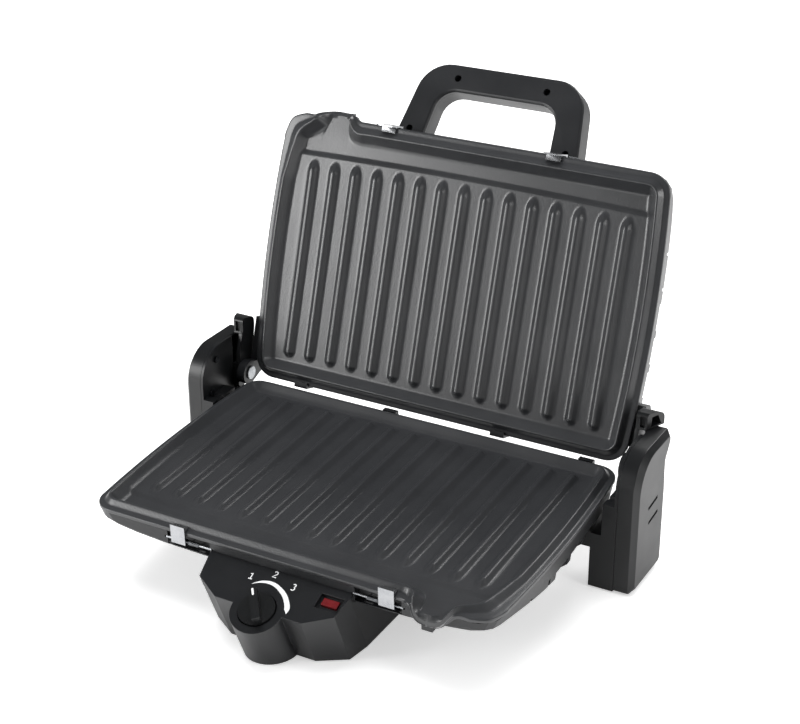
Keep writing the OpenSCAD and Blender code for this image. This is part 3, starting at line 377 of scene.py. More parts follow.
class Kind(Enum):
    """The finishes of the grill, by what each surface is.

    The tool texture of the plastics and the grain of the coating are finer in life. They are
    drawn coarser, at 0.8 mm and 1.5 mm, so that they show at the photograph's scale.
    """

    # Sprayed and baked non-stick coating on die-cast aluminium: dark, fine grain, soft sheen.
    PLATE = Finish("nonstick_coated_cast_aluminium", "#2b2c2e", "#303133", 0.33, 0.03, ior=1.7,
                   grain_mm=1.5, grain_depth_mm=0.08, mottle_mm=45)
    # Glass-filled polyester, moulded in a fine spark-eroded tool: satin black.
    HOUSING = Finish("moulded_glass_filled_polyester", "#1b1c1e", "#1f2022", 0.38, 0.03,
                     grain_mm=0.8, grain_depth_mm=0.02)
    # ABS of the posts and the foot, the same tool texture, a little glossier.
    POST = Finish("moulded_abs_satin_black", "#121314", "#151618", 0.36, 0.03,
                  grain_mm=0.8, grain_depth_mm=0.015)
    # Control box: ABS, satin.
    BOX = Finish("moulded_abs_control_box", "#17181a", "#1a1b1d", 0.36, 0.03,
                 grain_mm=0.8, grain_depth_mm=0.015)
    # Handle: phenolic-like heat resistant plastic, finely textured.
    HANDLE = Finish("moulded_heat_resistant_plastic", "#1e1f21", "#222325", 0.4, 0.03,
                    grain_mm=0.8, grain_depth_mm=0.02)
    # Knob: glossier moulding.
    KNOB = Finish("moulded_abs_knob", "#141516", "#171819", 0.3, 0.03,
                  grain_mm=0.8, grain_depth_mm=0.01)
    # Reflector pans: rolled aluminised steel, faint rolling lines.
    PAN = Finish("aluminised_steel_sheet", "#b9bbbd", "#a9acb0", 0.33, 0.06, metallic=1.0,
                 grain_mm=0.7, grain_depth_mm=0.01, stretch=(30, 1, 1))
    # Heating tube: sheathed nickel-iron alloy, baked to a brown-grey oxide.
    ELEMENT = Finish("oxidised_heater_sheath", "#6d6660", "#595049", 0.5, 0.08, metallic=1.0,
                     grain_mm=1.2, grain_depth_mm=0.02, mottle_mm=14)
    # Zinc-plated steel screws, clamps and pins.
    ZINC = Finish("zinc_plated_steel", "#b2b4b6", "#a3a6aa", 0.3, 0.06, metallic=1.0,
                  grain_mm=0.5, grain_depth_mm=0.01, mottle_mm=4)
    # Latches: bright nickel-plated spring steel, slightly brushed.
    LATCH = Finish("nickel_plated_spring_steel", "#b0b1b3", "#a3a5a8", 0.24, 0.05, metallic=1.0,
                   grain_mm=0.35, grain_depth_mm=0.004, stretch=(1, 1, 14), mottle_mm=6)
    # Springs: drawn wire.
    WIRE = Finish("drawn_spring_wire", "#8f9194", "#7f8285", 0.3, 0.05, metallic=1.0,
                  grain_mm=0.4, grain_depth_mm=0.004, mottle_mm=3)
    # Dark screws: black oxide.
    DARK_SCREW = Finish("black_oxide_steel", "#3c3e41", "#2f3134", 0.42, 0.05, metallic=1.0,
                        grain_mm=0.5, grain_depth_mm=0.008, mottle_mm=3)
    # Feet: moulded rubber, matt.
    RUBBER = Finish("moulded_rubber", "#2a2a2b", "#303031", 0.75, 0.05,
                    grain_mm=0.7, grain_depth_mm=0.03, mottle_mm=8)
    # Thermostat block and insulators: glazed steatite.
    CERAMIC = Finish("steatite_ceramic", "#c9bfa8", "#d6cdb8", 0.5, 0.05,
                     grain_mm=0.6, grain_depth_mm=0.015, mottle_mm=7)
    # Spindle: turned brass.
    BRASS = Finish("turned_brass", "#c2a862", "#b39a58", 0.28, 0.05, metallic=1.0,
                   grain_mm=0.3, grain_depth_mm=0.006, mottle_mm=5)
    # Lamp lens: tinted polycarbonate over a lamp that is off.
    LENS = Finish("tinted_polycarbonate", "#5c1216", "#6a161a", 0.14, 0.03, ior=1.58,
                  grain_mm=1.4, grain_depth_mm=0.02, mottle_mm=5)
    # Lamp body: glass tube with a white base.
    GLASS = Finish("frosted_lamp_glass", "#d8d2c4", "#cfc8b8", 0.3, 0.05,
                   grain_mm=0.8, grain_depth_mm=0.01, mottle_mm=5)
    # Cutout: nickel-plated cap on a phenolic body.
    CUTOUT = Finish("plated_cutout_cap", "#7c7f83", "#6f7276", 0.35, 0.06, metallic=1.0,
                    grain_mm=0.5, grain_depth_mm=0.01, mottle_mm=6)
    # Bushing: soft black vinyl.
    BUSHING = Finish("moulded_vinyl_bushing", "#1c1c1d", "#222223", 0.55, 0.05,
                     grain_mm=0.6, grain_depth_mm=0.02, mottle_mm=6)
    # Printing: white pad-printed ink.
    INK = Finish("pad_printed_ink", "#e4e5e6", "#dddedf", 0.5, 0.04,
                 grain_mm=0.4, grain_depth_mm=0.006, mottle_mm=9)


class Paints:
    """Builds each finish once."""

    def __init__(self) -> None:
        """Starts with no material made."""
        self.made: dict[Kind, bpy.types.Material] = {}

    def get(self, kind: Kind) -> bpy.types.Material:
        """Returns the material of a finish, made on first use."""
        if kind not in self.made:
            self.made[kind] = kind.value.build()
        return self.made[kind]


# CAD node -> (finish, bevel width in mm; 0 keeps the node's own mesh)
DRESS: dict[str, tuple[Kind, float]] = {
    "lower_plate": (Kind.PLATE, 0), "upper_plate": (Kind.PLATE, 0),
    "lower_housing": (Kind.HOUSING, 0.3), "upper_housing": (Kind.HOUSING, 0.3),
    "lower_reflector": (Kind.PAN, 0), "upper_reflector": (Kind.PAN, 0),
    "lower_element": (Kind.ELEMENT, 0), "upper_element": (Kind.ELEMENT, 0),
    "lower_element_clamps": (Kind.ZINC, 0), "upper_element_clamps": (Kind.ZINC, 0),
    "lower_reflector_screws": (Kind.ZINC, 0), "upper_reflector_screws": (Kind.ZINC, 0),
    "latch_lower_left": (Kind.LATCH, 0.25), "latch_lower_right": (Kind.LATCH, 0.25),
    "latch_upper_left": (Kind.LATCH, 0.25), "latch_upper_right": (Kind.LATCH, 0.25),
    "lower_latch_pins": (Kind.ZINC, 0), "upper_latch_pins": (Kind.ZINC, 0),
    "lower_latch_springs": (Kind.WIRE, 0), "upper_latch_springs": (Kind.WIRE, 0),
    "post_cover_left": (Kind.POST, 0.7), "post_cover_right": (Kind.POST, 0.7),
    "foot_box_left": (Kind.POST, 0.5), "foot_box_right": (Kind.POST, 0.5),
    "post_screws": (Kind.DARK_SCREW, 0.2), "deck_screws": (Kind.ZINC, 0),
    "rubber_feet": (Kind.RUBBER, 0.5),
    "lift_bar_left": (Kind.POST, 0.35), "lift_bar_right": (Kind.POST, 0.35),
    "hinge_pins": (Kind.ZINC, 0.3),
    "handle_front": (Kind.HANDLE, 0.25), "handle_back": (Kind.HANDLE, 0.25),
    "handle_screws": (Kind.DARK_SCREW, 0), "handle_bolts": (Kind.ZINC, 0),
    "control_box": (Kind.BOX, 0.5), "control_box_base": (Kind.POST, 0.3),
    "control_box_screws": (Kind.ZINC, 0), "thermostat": (Kind.CERAMIC, 0.3),
    "thermostat_shaft": (Kind.BRASS, 0), "knob": (Kind.KNOB, 0.5),
    "lamp_lens": (Kind.LENS, 0.4), "lamp_body": (Kind.GLASS, 0),
    "thermal_cutout": (Kind.CUTOUT, 0.3), "cord_bushing": (Kind.BUSHING, 0.3),
}


@dataclass
class Dressing:
    """Dresses the CAD nodes: a finish on each, and softened edges where they show.

    Args:
        paints: the finishes.
        replaced: nodes that other pieces stand for.
        merge_gap: how close points are, in metres, that become one.
        flat_angle: faces that meet at less, in degrees, become one.
        smooth_angle: edges that meet at less, in degrees, shade smooth.
        bevel_angle: edges that meet at more, in degrees, are rounded.
        bevel_segments: facets of a rounding.
    """

    paints: Paints
    frame: dict[str, Any]
    replaced: set[str]
    merge_gap: float = 5e-6
    flat_angle: float = 1.0
    smooth_angle: float = 30
    bevel_angle: float = 28
    bevel_segments: int = 2

    def body_of(self, node: str) -> str:
        """Returns the CAD body that a node rides on."""
        return self.frame["nodes"][node]["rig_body"]

    def soften(self, node: str, width: float, kind: Kind) -> None:
        """Stands a merged copy of a node with rounded edges in for the node.

        Args:
            node: the CAD node.
            width: the width of the rounding in millimetres.
            kind: its finish.
        """
        source = self.frame["nodes"][node]
        data = source.data.copy()
        data.name = node + "_soft"
        work = bmesh.new()
        work.from_mesh(data)
        bmesh.ops.remove_doubles(work, verts=work.verts, dist=self.merge_gap)
        bmesh.ops.dissolve_limit(work, angle_limit=math.radians(self.flat_angle),
                                 verts=work.verts, edges=work.edges)
        work.to_mesh(data)
        work.free()
        smooth(data, self.smooth_angle)
        obj = piece(node + "_shell", data, self.body_of(node), self.paints.get(kind),
                    [node])
        bevel = obj.modifiers.new("softened_edges", "BEVEL")
        bevel.width = width * MM
        bevel.segments = self.bevel_segments
        bevel.limit_method = "ANGLE"
        bevel.angle_limit = math.radians(self.bevel_angle)
        bevel.harden_normals = True
        bevel.use_clamp_overlap = True

    def run(self) -> None:
        """Dresses every node that nothing has replaced."""
        for node, (kind, width) in DRESS.items():
            if node in self.replaced:
                continue
            if width > 0:
                self.soften(node, width, kind)
                continue
            data = self.frame["nodes"][node].data
            data.materials.clear()
            data.materials.append(self.paints.get(kind))
            LOG.info("node %s keeps its mesh, finish %s", node, kind.value.name)


# ------------------------------------------------------------------ cooking plates


def soft_max(a: Array, b: Array, k: float) -> Array:
    """Returns the larger of a and b, with a fillet where they are within k of each other."""
    gap = np.maximum(k - np.abs(a - b), 0)
    return np.maximum(a, b) + gap * gap / (4 * k)


def soft_min(a: Array, b: Array, k: float) -> Array:
    """Returns the smaller of a and b, rounded where they are within k of each other."""
    return -soft_max(-np.asarray(a, float), -np.asarray(b, float), k)


def spline(knots: Sequence[float], values: Sequence[Sequence[float]], at: Array) -> Array:
    """Carries rows of values smoothly through knots (cubic Hermite, averaged slopes).

    Args:
        knots: rising knot places.
        values: a row of values for each knot.
        at: places to work out.
    Returns:
        An array (len(at), columns).
    """
    t, v = np.asarray(knots, float), np.asarray(values, float)
    slope = np.gradient(v, t, axis=0)
    i = np.clip(np.searchsorted(t, at, side="right") - 1, 0, len(t) - 2)
    h = (t[i + 1] - t[i])[:, None]
    s = ((at - t[i]) / h[:, 0])[:, None]
    return (
        (1 + 2 * s) * (1 - s) ** 2 * v[i]
        + s * (1 - s) ** 2 * h * slope[i]
        + s * s * (3 - 2 * s) * v[i + 1]
        + s * s * (s - 1) * h * slope[i + 1]
    )


def spread(lines: Array, still: float, end: float, reach: float | Array) -> Array:
    """Stretches the lines beyond still, either side of zero, so that end comes to reach."""
    beyond = still + (np.abs(lines) - still) * (reach - still) / (end - still)
    return np.where(np.abs(lines) > still, np.sign(lines) * beyond, lines)


@dataclass
class CookingPlate:
    """A ribbed cooking plate: rim, basin, raised field, gutter and spout.

    Rings run round the plate at offsets from the rim's crest, inwards below zero.
    """

    # The crest's outline: half sizes, the sides' bow and the corners' radius
    half_w: float = 158.0
    half_d: float = 101.5
    bow: float = 3.7
    corner: float = 9.0
    # The floor: the field, the gutter and the smooth step between them, on a shallow arc
    field_z: float = -6.7
    gutter_z: float = -8.7
    field_front: float = 76.2
    step_run: float = 5.4
    field_arc: float = 2.2
    field_arc_w: float = 150.0
    # The ribs
    rib_count: int = 15
    rib_pitch: float = 19.55
    rib_foot: float = 4.9
    rib_h: float = 3.6
    rib_front: float = 63.9
    rib_rear: float = 85.2
    rib_arc_w: float = 149.7
    rib_slope: float = 1.02
    rib_end_slope: float = 0.5
    rib_top_round: float = 0.7
    rib_foot_round: float = 1.1
    # Offsets of the inner grid's edge, the wall's foot and the outer edge
    inner: float = -12.0
    foot: float = -8.3
    edge: float = 8.9
    # The inner wall: a place on it, how far it runs per millimetre of rise, and its fillet
    wall_at: float = -0.6
    wall_z: float = -0.3
    wall_run: float = 0.918
    fillet: float = 2.2
    # The spout: the channel that falls to it, its lip and its mouth's fade
    channel: tuple[float, float] = (100.0, 140.0)
    channel_front: float = 93.0
    channel_fall: float = 0.075
    lip_z: float = -13.8
    mouth_depth: float = 3.0
    mouth_power: float = 1.25
    # Where the spout's pull fades: along the front, along the side, and below the edge
    fade_front: float = 6.0
    fade_side: float = 10.0
    fade_end: float = -6.7
    fade_run: float = 10.6
    # The grid: lines outside these places spread to the outline; fine lines at the spout
    still_x: float = 142.0
    still_y: float = 78.0
    spout_lines: tuple[tuple[float, float], ...] = ((95.0, 113.0), (127.5, 141.5))
    spout_pitch: float = 0.45
    closest: float = 0.2
    arc_points: int = 10
    # Offsets of the rings on the inner wall
    inside: tuple[float, ...] = (-12, -11, -10, -9.2, -8.6, -8.1, -7.6, -7.1, -6.6, -6.1,
                                 -5.5, -4.6, -3.4, -2.2, -1.5, -1.0)
    # Offset, height, and how far below the crest the ring lies at the spout's lip
    rim: tuple[tuple[float, float, float], ...] = (
        (-0.6, -0.32, 0.05), (-0.3, -0.1, 0), (0.05, 0, 0), (0.5, -0.03, 0.08),
        (0.9, -0.17, 0.25), (1.3, -0.5, 0.5), (1.8, -1.05, 0.9), (2.6, -2.0, 1.5),
        (3.5, -3.05, 2.1), (4.1, -3.75, 2.5), (4.5, -4.1, 2.7), (5.0, -4.3, 2.9),
        (5.8, -4.42, 3.2), (7.2, -4.62, 3.5), (8.1, -4.74, 3.6), (8.55, -4.9, 3.7),
        (8.82, -5.2, 3.8), (8.9, -5.6, 3.85))
    under: tuple[tuple[float, float, float], ...] = (
        (8.9, -7.3, 3.9), (8.75, -7.65, 3.92), (8.4, -7.85, 3.94), (6.0, -7.9, 3.9),
        (4.9, -7.5, 3.6), (3.9, -6.7, 3.2), (0.8, -3.9, 1.4), (-6.7, -11.7, -2.1))

    def lines_x(self) -> Array:
        """Returns the grid's x lines: close together on every rib's flanks."""
        middle = (self.rib_count - 1) // 2
        near = np.array([0, 0.8, 1.25, 1.6, 2.2, 3.3, 4.3, 4.8, 5.3, 6.2, 7.6])
        centres = self.rib_pitch * np.arange(-middle, middle + 1)
        lines = (centres[:, None] + np.concatenate([-near[1:], near])[None, :]).ravel()
        gaps = centres[:-1] + self.rib_pitch / 2
        ends = np.array([self.still_x, self.still_x + 1.5, self.still_x + 3.0,
                         self.half_w + self.inner])
        spout = [np.arange(start, stop, self.spout_pitch) for start, stop in self.spout_lines]
        kept = lines[np.abs(lines) < self.still_x - 0.1]
        lines = np.sort(np.concatenate([kept, gaps, ends, -ends, *spout]))
        return lines[np.concatenate([[True], np.diff(lines) > self.closest])]

    def lines_y(self) -> Array:
        """Returns the grid's y lines: close together at the ribs' ends and the step."""
        end = self.half_d + self.inner
        spans = ((-end, -84.5, 5), (-83.8, -52, 44), (-49, 76, 22), (self.still_y, end, 20))
        return np.concatenate([np.linspace(*span) for span in spans])

    def bow_at(self, y: Array) -> Array:
        """Returns the side's outward bow at depth y, a parabola that ends at the corners."""
        return self.bow * (1 - (y / (self.half_d - self.corner)) ** 2)

    def outline(self, o: float) -> Array:
        """Returns the closed outline offset by o: two bowed sides, two straight ends, four arcs.

        Args:
            o: the offset outside the crest in millimetres.
        Returns:
            Points (n, 2), counter-clockwise from the front left corner.
        """
        r = max(self.corner + o, 0.0)
        cx, cy = self.half_w + o - r, self.half_d + o - r
        cx += float(self.bow_at(np.array(cy))) if r == 0 else 0.0
        lx, ly = self.lines_x(), self.lines_y()
        fx = spread(lx, self.still_x, self.half_w + self.inner, cx)
        fy = spread(ly, self.still_y, self.half_d + self.inner, cy)
        side = self.half_w + o + self.bow_at(np.clip(fy, -cy, cy))
        a = np.radians(np.linspace(0, 90, self.arc_points + 2))[1:-1]
        ca, sa = r * np.cos(a), r * np.sin(a)
        return np.vstack([
            np.stack([fx, np.full(len(fx), -cy - r)], -1),
            np.stack([cx + sa, -cy - ca], -1),
            np.stack([side, fy], -1),
            np.stack([cx + ca, cy + sa], -1),
            np.stack([fx[::-1], np.full(len(fx), cy + r)], -1),
            np.stack([-cx - sa, cy + ca], -1),
            np.stack([-side[::-1], fy[::-1]], -1),
            np.stack([-cx - ca, -cy - sa], -1),
        ])

    def ground(self, x: Array, y: Array) -> Array:
        """Returns the height of the floor with its ribs.

        The floor drops from the field to the gutter over a smooth step on a shallow arc. A rib
        is a trapezoid of the distance from its middle line, rounded at its top and its foot,
        and its front end falls more gently than its flanks.
        """
        arc = self.field_arc * (1 - (x / self.field_arc_w) ** 2)
        t = np.clip((-y - self.field_front - arc) / self.step_run, 0, 1)
        floor = self.field_z + (self.gutter_z - self.field_z) * t * t * (3 - 2 * t)
        middle = (self.rib_count - 1) // 2
        i = np.clip(np.round(x / self.rib_pitch), -middle, middle)
        centre = i * self.rib_pitch
        front = -self.rib_front - self.field_arc * (1 - (centre / self.rib_arc_w) ** 2)
        dy = np.maximum(front - y, 0) * self.rib_end_slope + np.maximum(y - self.rib_rear, 0)
        flank = (self.rib_foot - np.hypot(x - centre, dy)) * self.rib_slope
        rib = soft_max(soft_min(self.rib_h, flank, self.rib_top_round), 0.0,
                       self.rib_foot_round)
        return floor + np.maximum(rib, 0)

    def guides(self) -> tuple[Array, Array]:
        """Returns the columns of the outline that the spout bends, and where they go.

        A row of the table gives, for a column: where the foot of the inner wall, the crest and
        the outer edge lie (x, y each), and how high the crest is. Columns run along the front
        edge, round the right corner and up the right side, and are told by their place there:
        x on the front edge, 149 to 158 round the corner, and 158 plus the way up the side.
        """
        table = np.array([
            [84.0, 84.0, -93.2, 84.0, -101.5, 84.0, -110.4, 0.0],
            [92.0, 92.6, -93.0, 91.2, -101.3, 91.6, -110.4, 0.0],
            [97.0, 99.0, -92.9, 96.0, -101.2, 96.3, -110.5, 0.0],
            [101.0, 104.6, -94.2, 99.8, -102.3, 99.3, -111.0, 0.0],
            [104.0, 108.4, -97.4, 102.9, -104.8, 101.3, -112.2, 0.0],
            [106.0, 110.3, -101.2, 105.2, -108.4, 102.6, -113.6, 0.0],
            [107.3, 111.0, -104.8, 106.5, -112.0, 105.2, -114.4, -0.4],
            [108.2, 111.6, -107.6, 107.5, -113.8, 106.8, -115.3, -4.2],
            [109.2, 112.0, -110.2, 109.0, -114.5, 108.6, -115.6, -8.6],
            [110.6, 113.0, -111.9, 111.8, -114.5, 111.5, -115.5, -12.2],
            [113.0, 115.6, -112.2, 115.4, -114.3, 115.3, -115.2, -13.9],
            [120.0, 119.4, -112.2, 119.4, -114.3, 119.4, -115.1, -14.2],
            [127.5, 122.8, -111.8, 123.2, -114.3, 123.4, -115.2, -14.0],
            [130.6, 125.2, -110.6, 126.9, -113.9, 127.5, -115.1, -12.8],
            [132.6, 127.6, -108.6, 130.2, -113.0, 131.2, -114.6, -9.8],
            [134.0, 128.8, -105.6, 133.6, -111.5, 134.7, -113.6, -5.2],
            [135.4, 130.5, -103.6, 136.3, -109.7, 137.6, -112.5, -1.4],
            [137.2, 132.5, -101.2, 138.3, -107.4, 139.8, -111.4, 0.0],
            [139.5, 135.4, -98.8, 140.7, -105.1, 141.8, -110.5, 0.0],
            [142.5, 138.6, -96.2, 143.6, -102.9, 144.2, -110.4, 0.0],
            [146.0, 142.0, -93.6, 146.9, -100.5, 147.0, -110.4, 0.0],
            [149.0, 144.9, -91.4, 149.4, -97.8, 149.6, -110.4, 0.0],
            [153.5, 146.9, -89.9, 151.4, -94.4, 161.7, -105.1, 0.0],
            [158.0, 147.5, -88.2, 152.8, -91.0, 166.8, -92.8, 0.0],
            [163.0, 147.9, -85.6, 153.8, -86.6, 167.2, -87.0, 0.0],
            [170.0, 148.9, -80.0, 155.4, -80.2, 167.8, -80.4, 0.0],
            [182.0, 150.4, -68.4, 157.8, -68.5, 168.6, -68.5, 0.0],
            [196.0, 152.0, -54.5, 160.0, -54.5, 169.3, -54.5, 0.0],
        ])
        return table[:, 0], table[:, 1:]

    def column_keys(self) -> Array:
        """Returns each outline point's place along the front edge, corner and right side."""
        lx, ly = self.lines_x(), self.lines_y()
        ring = self.outline(0.0)
        front, side = len(lx), len(lx) + self.arc_points
        end = side + len(ly)
        turn = np.linspace(0, 1, self.arc_points + 2)[1:-1]
        keys = np.full(len(ring), -1.0)
        keys[:front] = ring[:front, 0]
        keys[front:side] = self.half_w - self.corner + self.corner * turn
        keys[side:end] = self.half_w + ring[side:end, 1] + (self.half_d - self.corner)
        return keys

    def bend(self, o: float, edge: bool) -> tuple[Array, Array]:
        """Moves the outline offset by o to the spout's guide curves.

        Between the inner grid and the foot, the foot and the crest, and the crest and the outer
        edge, a point keeps its share of the way. Below the edge the shift fades inwards.

        Args:
            o: the offset outside the crest.
            edge: whether the ring lies below the outer edge.
        Returns:
            The ring (n, 2) and each column's crest height.
        """
        ring = self.outline(o)
        keys = self.column_keys()
        places, guide = self.guides()
        inside = (keys > places[0]) & (keys < places[-1])
        curve = spline(places, guide, np.clip(keys, places[0], places[-1]))
        foot, crest, rim = curve[:, 0:2], curve[:, 2:4], curve[:, 4:6]
        marks = [self.inner, self.foot, 0.0, self.edge]
        base = [self.outline(mark) for mark in marks]
        shifts = [np.zeros_like(base[0]), foot - base[1], crest - base[2], rim - base[3]]
        if edge:
            fade = float(np.clip((o - self.fade_end) / self.fade_run, 0, 1))
            move = shifts[3] * fade
        else:
            i = int(np.clip(np.searchsorted(marks, o) - 1, 0, 2))
            f = (o - marks[i]) / (marks[i + 1] - marks[i])
            move = shifts[i] * (1 - f) + shifts[i + 1] * f
        blend = np.minimum(np.clip((keys - places[0]) / self.fade_front, 0, 1),
                           np.clip((places[-1] - keys) / self.fade_side, 0, 1))[:, None]
        ring = ring + np.where(inside[:, None], move * blend, 0.0)
        return ring, np.where(inside, np.minimum(curve[:, 6], 0.0), 0.0)

    def top(self, x: Array, y: Array, o: float, crest: Array) -> Array:
        """Returns the height inside the crest: the sloping wall or the ground, with a fillet.

        The wall rises to the crest's height, so that it dies away across the spout's mouth.
        """
        wall = self.wall_z + (o - self.wall_at) / self.wall_run
        within = (x > self.channel[0]) & (x < self.channel[1])
        run = np.clip(-y - self.channel_front, 0, None)
        ground = self.ground(x, y) - self.channel_fall * run * within
        standing = soft_max(wall, ground, self.fillet)
        share = float(np.clip((o - self.foot) / -self.foot, 0, 1)) ** self.mouth_power
        sinking = ground * (1 - share) + crest * share
        mouth = np.clip(-crest / self.mouth_depth, 0, 1)
        return standing * (1 - mouth) + sinking * mouth

    def build(self, name: str, frame: Array) -> bpy.types.Mesh:
        """Builds the closed mesh of the plate in a CAD frame.

        Args:
            name: the mesh's name.
            frame: the plate's frame.
        Returns:
            The mesh.
        """
        shell = Shell()
        gx, gy = np.meshgrid(self.lines_x(), self.lines_y())
        end_x = self.half_w + self.inner
        gx = spread(gx, self.still_x, end_x, end_x + self.bow_at(gy))
        shell.grid(np.stack([gx, gy, self.ground(gx, gy)], -1))
        rows = []
        for o in self.inside:
            ring, crest = self.bend(o, False)
            rows.append(np.column_stack([ring, self.top(ring[:, 0], ring[:, 1], o, crest)]))
        for rings, below_edge in ((self.rim, False), (self.under, True)):
            for o, z, drop in rings:
                ring, crest = self.bend(o, below_edge)
                lip = np.clip(crest / self.lip_z, 0, 1)
                height = crest + z * (1 - lip) - drop * lip
                rows.append(np.column_stack([ring, height]))
        shell.grid(np.stack(rows), wrap=True)
        shell.cap(rows[-1])
        return shell.mesh(name, frame)


@dataclass
class Plates:
    """Both cooking plates, one in the base and one in the lid."""

    paints: Paints
    form: CookingPlate = field(default_factory=CookingPlate)

    def run(self) -> list[str]:
        """Makes both plates and returns the CAD nodes that they replace."""
        for node, frame, body in (("lower_plate", DECK, "base"), ("upper_plate", LID, "lid")):
            data = self.form.build(node + "_cast", frame)
            smooth(data, 38)
            piece(node + "_cast", data, body, self.paints.get(Kind.PLATE),
                  [node])
        return ["lower_plate", "upper_plate"]


# ------------------------------------------------------------------ printed scale and wire


def sweep(path: Array, radius: Array, sides: int = 10) -> Array:
    """Carries a circle along a path that never runs along X.

    The circle lies across the path's tangent, measured from X.

    Args:
        path: points (n, 3).
        radius: the circle's radius at each point.
        sides: points round the circle.
    Returns:
        A grid (n, sides, 3).
    """
    tangent = np.gradient(path, axis=0)
    tangent /= np.linalg.norm(tangent, axis=1)[:, None]
    first = np.cross(tangent, [1.0, 0, 0])
    first /= np.linalg.norm(first, axis=1)[:, None]
    second = np.cross(tangent, first)
    a = np.linspace(0, 2 * math.pi, sides, endpoint=False)
    ring = np.cos(a)[None, :, None] * first[:, None] + np.sin(a)[None, :, None] * second[:, None]
    return path[:, None] + ring * np.broadcast_to(radius, len(path))[:, None, None]


@dataclass
class LatchSprings:
    """The torsion springs beside the latches, wound of wire."""

    paints: Paints
    wire: float = 0.42
    coil: float = 1.42
    length: float = 10.0
    turns: float = 9.0
    points_per_turn: int = 18
    leg: tuple[float, float] = (5.4, 0.6)
    leg_points: int = 5
    pivot: tuple[float, float] = (-109.2, -13.4)
    places: tuple[tuple[str, float, str], ...] = (
        ("lower", 74.0, "base"),
        ("upper", 83.5, "lid"),
    )

    def path(self) -> Array:
        """Returns the wire's middle line: a leg, a helix about X, and a leg."""
        a = np.linspace(-0.5 * math.pi, (2 * self.turns - 0.5) * math.pi,
                        int(self.turns * self.points_per_turn))
        run = np.linspace(self.wire, self.length - self.wire, len(a))
        helix = np.column_stack([run, self.coil * np.cos(a), self.coil * np.sin(a)])
        leg = np.linspace(*self.leg, self.leg_points)
        start = np.column_stack([np.full_like(leg, self.wire), leg,
                                 np.full_like(leg, -self.coil)])
        end = start[::-1] + [self.length - 2 * self.wire, 0, 0]
        return np.vstack([start, helix, end])

    def run(self) -> list[str]:
        """Makes both pairs of springs and returns the CAD nodes that they replace."""
        grid = sweep(self.path(), np.array(self.wire))
        for row, x, body in self.places:
            frame = DECK if body == "base" else LID
            shell = Shell()
            for side in (-1.0, 1.0):
                moved = grid + [x - self.length / 2, *self.pivot]
                shell.tube(moved * [side, 1, 1])
            data = shell.mesh(row + "_latch_coils", frame)
            smooth(data, 60)
            piece(row + "_latch_coils", data, body, self.paints.get(Kind.WIRE),
                  [row + "_latch_springs"])
        return ["lower_latch_springs", "upper_latch_springs"]


